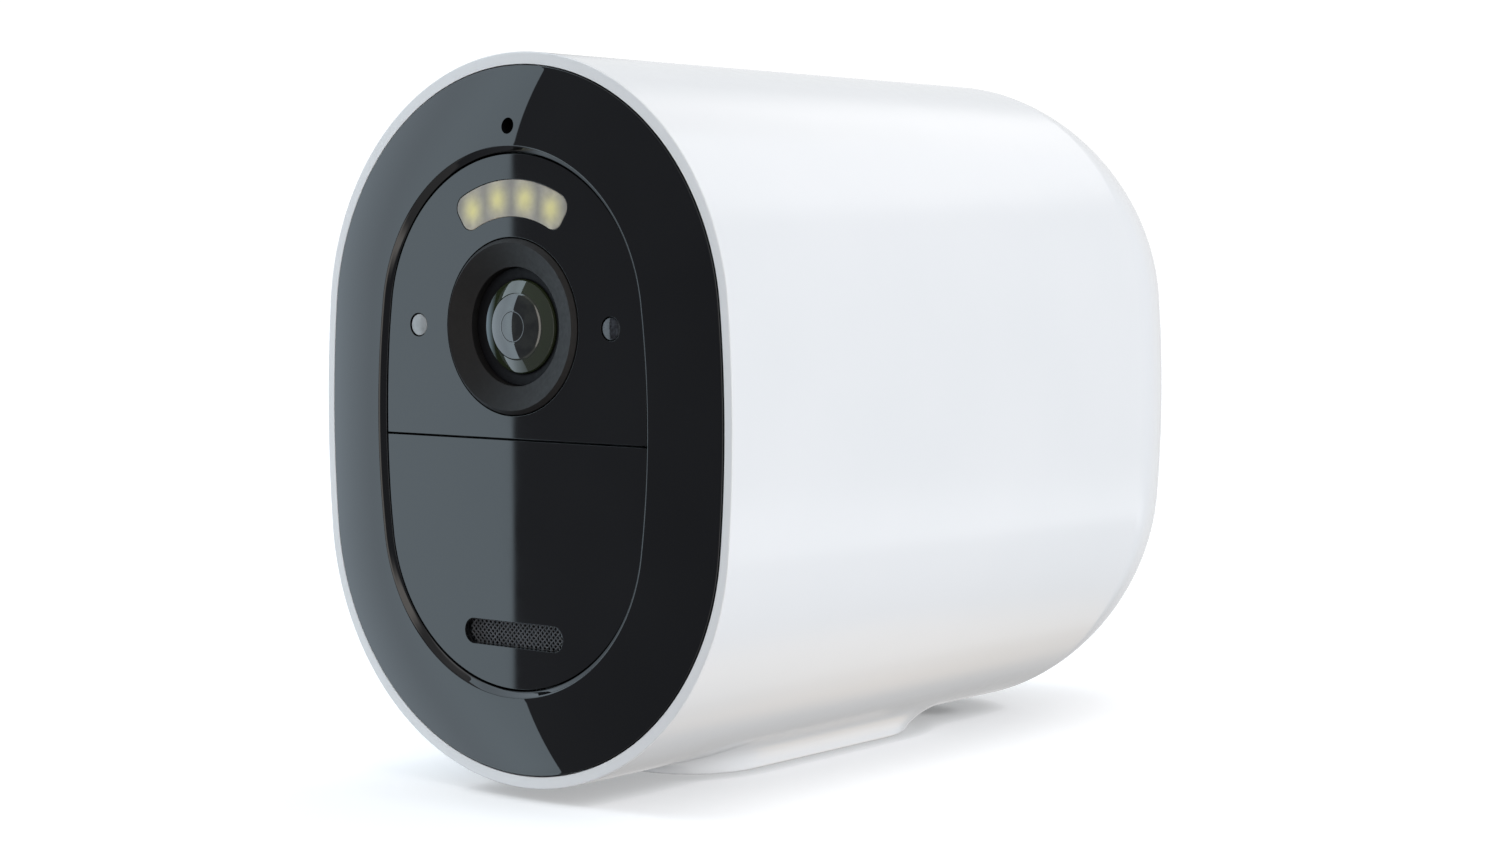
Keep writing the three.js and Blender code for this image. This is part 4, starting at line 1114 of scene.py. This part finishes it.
def make_floor():
    """A pale disc with painted shadow: ambient occlusion darkens its colour and its glow where
    something stands on it or close above it.
    """
    disc = Solid()
    loops = []
    for radius in FLOOR_RINGS:
        flat = circle(0, FLOOR_Y, radius, 64)
        loops.append(disc.add(np.column_stack([flat, np.full(len(flat), FOOT_BOTTOM)])))
    middle = disc.add([(0, FLOOR_Y, FOOT_BOTTOM)])
    disc.fan(loops[0], middle[0])
    for a, b in zip(loops, loops[1:]):
        disc.strip(a, b)
    floor = disc.make("floor")
    made = Finish("floor", IOR=1.4, Specular_IOR_Level=0.0)
    # painted shadow: ambient occlusion within NEAR_REACH shades the floor under the object
    near = made.node("ShaderNodeAmbientOcclusion", samples=12)
    near.inputs["Distance"].default_value = NEAR_REACH * MM
    open_sky = made.ranged(near.outputs["AO"], 0, 1, 0.3, 1.0)
    # painted shadow: seam is a tight dark line where the foot touches the floor
    touching = made.node("ShaderNodeAmbientOcclusion", samples=12)
    touching.inputs["Distance"].default_value = TOUCH_REACH * MM
    seam = made.ranged(touching.outputs["AO"], 0, 1, 0.35, 0.9)
    cloud = made.ranged(made.noise(60), 0, 1, 0.3, 0.7)
    paint = made.mixed(cloud, (0.86, 0.86, 0.865), (0.88, 0.88, 0.88))
    shaded = made.mixed(open_sky, (0.77, 0.77, 0.775), paint)
    made.link(made.mixed(seam, (0.52, 0.52, 0.52), shaded), made.shader.inputs["Base Color"])
    # the floor's glow is painted darker in the same shadows
    lifted = made.mixed(open_sky, (0.80, 0.80, 0.80), (1.0, 1.0, 1.0))
    made.link(made.mixed(seam, (0.55, 0.55, 0.55), lifted), made.shader.inputs["Emission Color"])
    made.shader.inputs["Roughness"].default_value = 1.0
    made.shader.inputs["Emission Strength"].default_value = FLOOR_GLOW
    floor.data.materials.append(made.material)
    floor.visible_diffuse = False
    floor.visible_glossy = False
    floor.visible_transmission = False


def make_backdrop():
    """A plain white surround that only the camera sees."""
    bm = bmesh.new()
    bmesh.ops.create_icosphere(bm, subdivisions=4, radius=3.2)
    mesh = bpy.data.meshes.new("backdrop")
    bm.to_mesh(mesh)
    bm.free()
    dome = bpy.data.objects.new("backdrop", mesh)
    bpy.context.scene.collection.objects.link(dome)
    mesh.materials.append(glow("backdrop", (1, 1, 1), 1.1))
    for ray in ("diffuse", "glossy", "transmission", "volume_scatter", "shadow"):
        setattr(dome, f"visible_{ray}", False)


def make_camera():
    """Seen from the front and right, a little from above."""
    azimuth, elevation = math.radians(CAMERA_AZIMUTH), math.radians(CAMERA_ELEVATION)
    back = Vector((math.sin(azimuth) * math.cos(elevation), -math.cos(azimuth) * math.cos(elevation),
                   math.sin(elevation)))
    turn = (-back).to_track_quat("-Z", "Y")
    right, up = turn @ Vector((1, 0, 0)), turn @ Vector((0, 1, 0))
    data = bpy.data.cameras.new("camera")
    data.lens = CAMERA_LENS
    data.sensor_width = CAMERA_SENSOR
    data.clip_start, data.clip_end = 0.01, 20
    camera = bpy.data.objects.new("camera", data)
    bpy.context.scene.collection.objects.link(camera)
    move = back * CAMERA_BACK + right * CAMERA_RIGHT + up * CAMERA_UP
    camera.location = Vector(ORIGIN) + move * MM
    camera.rotation_mode = "QUATERNION"
    camera.rotation_quaternion = turn
    bpy.context.scene.camera = camera


light_studio()
make_floor()
make_backdrop()
make_camera()
bpy.context.scene.view_settings.view_transform = "Standard"
bpy.context.scene.view_settings.look = "None"
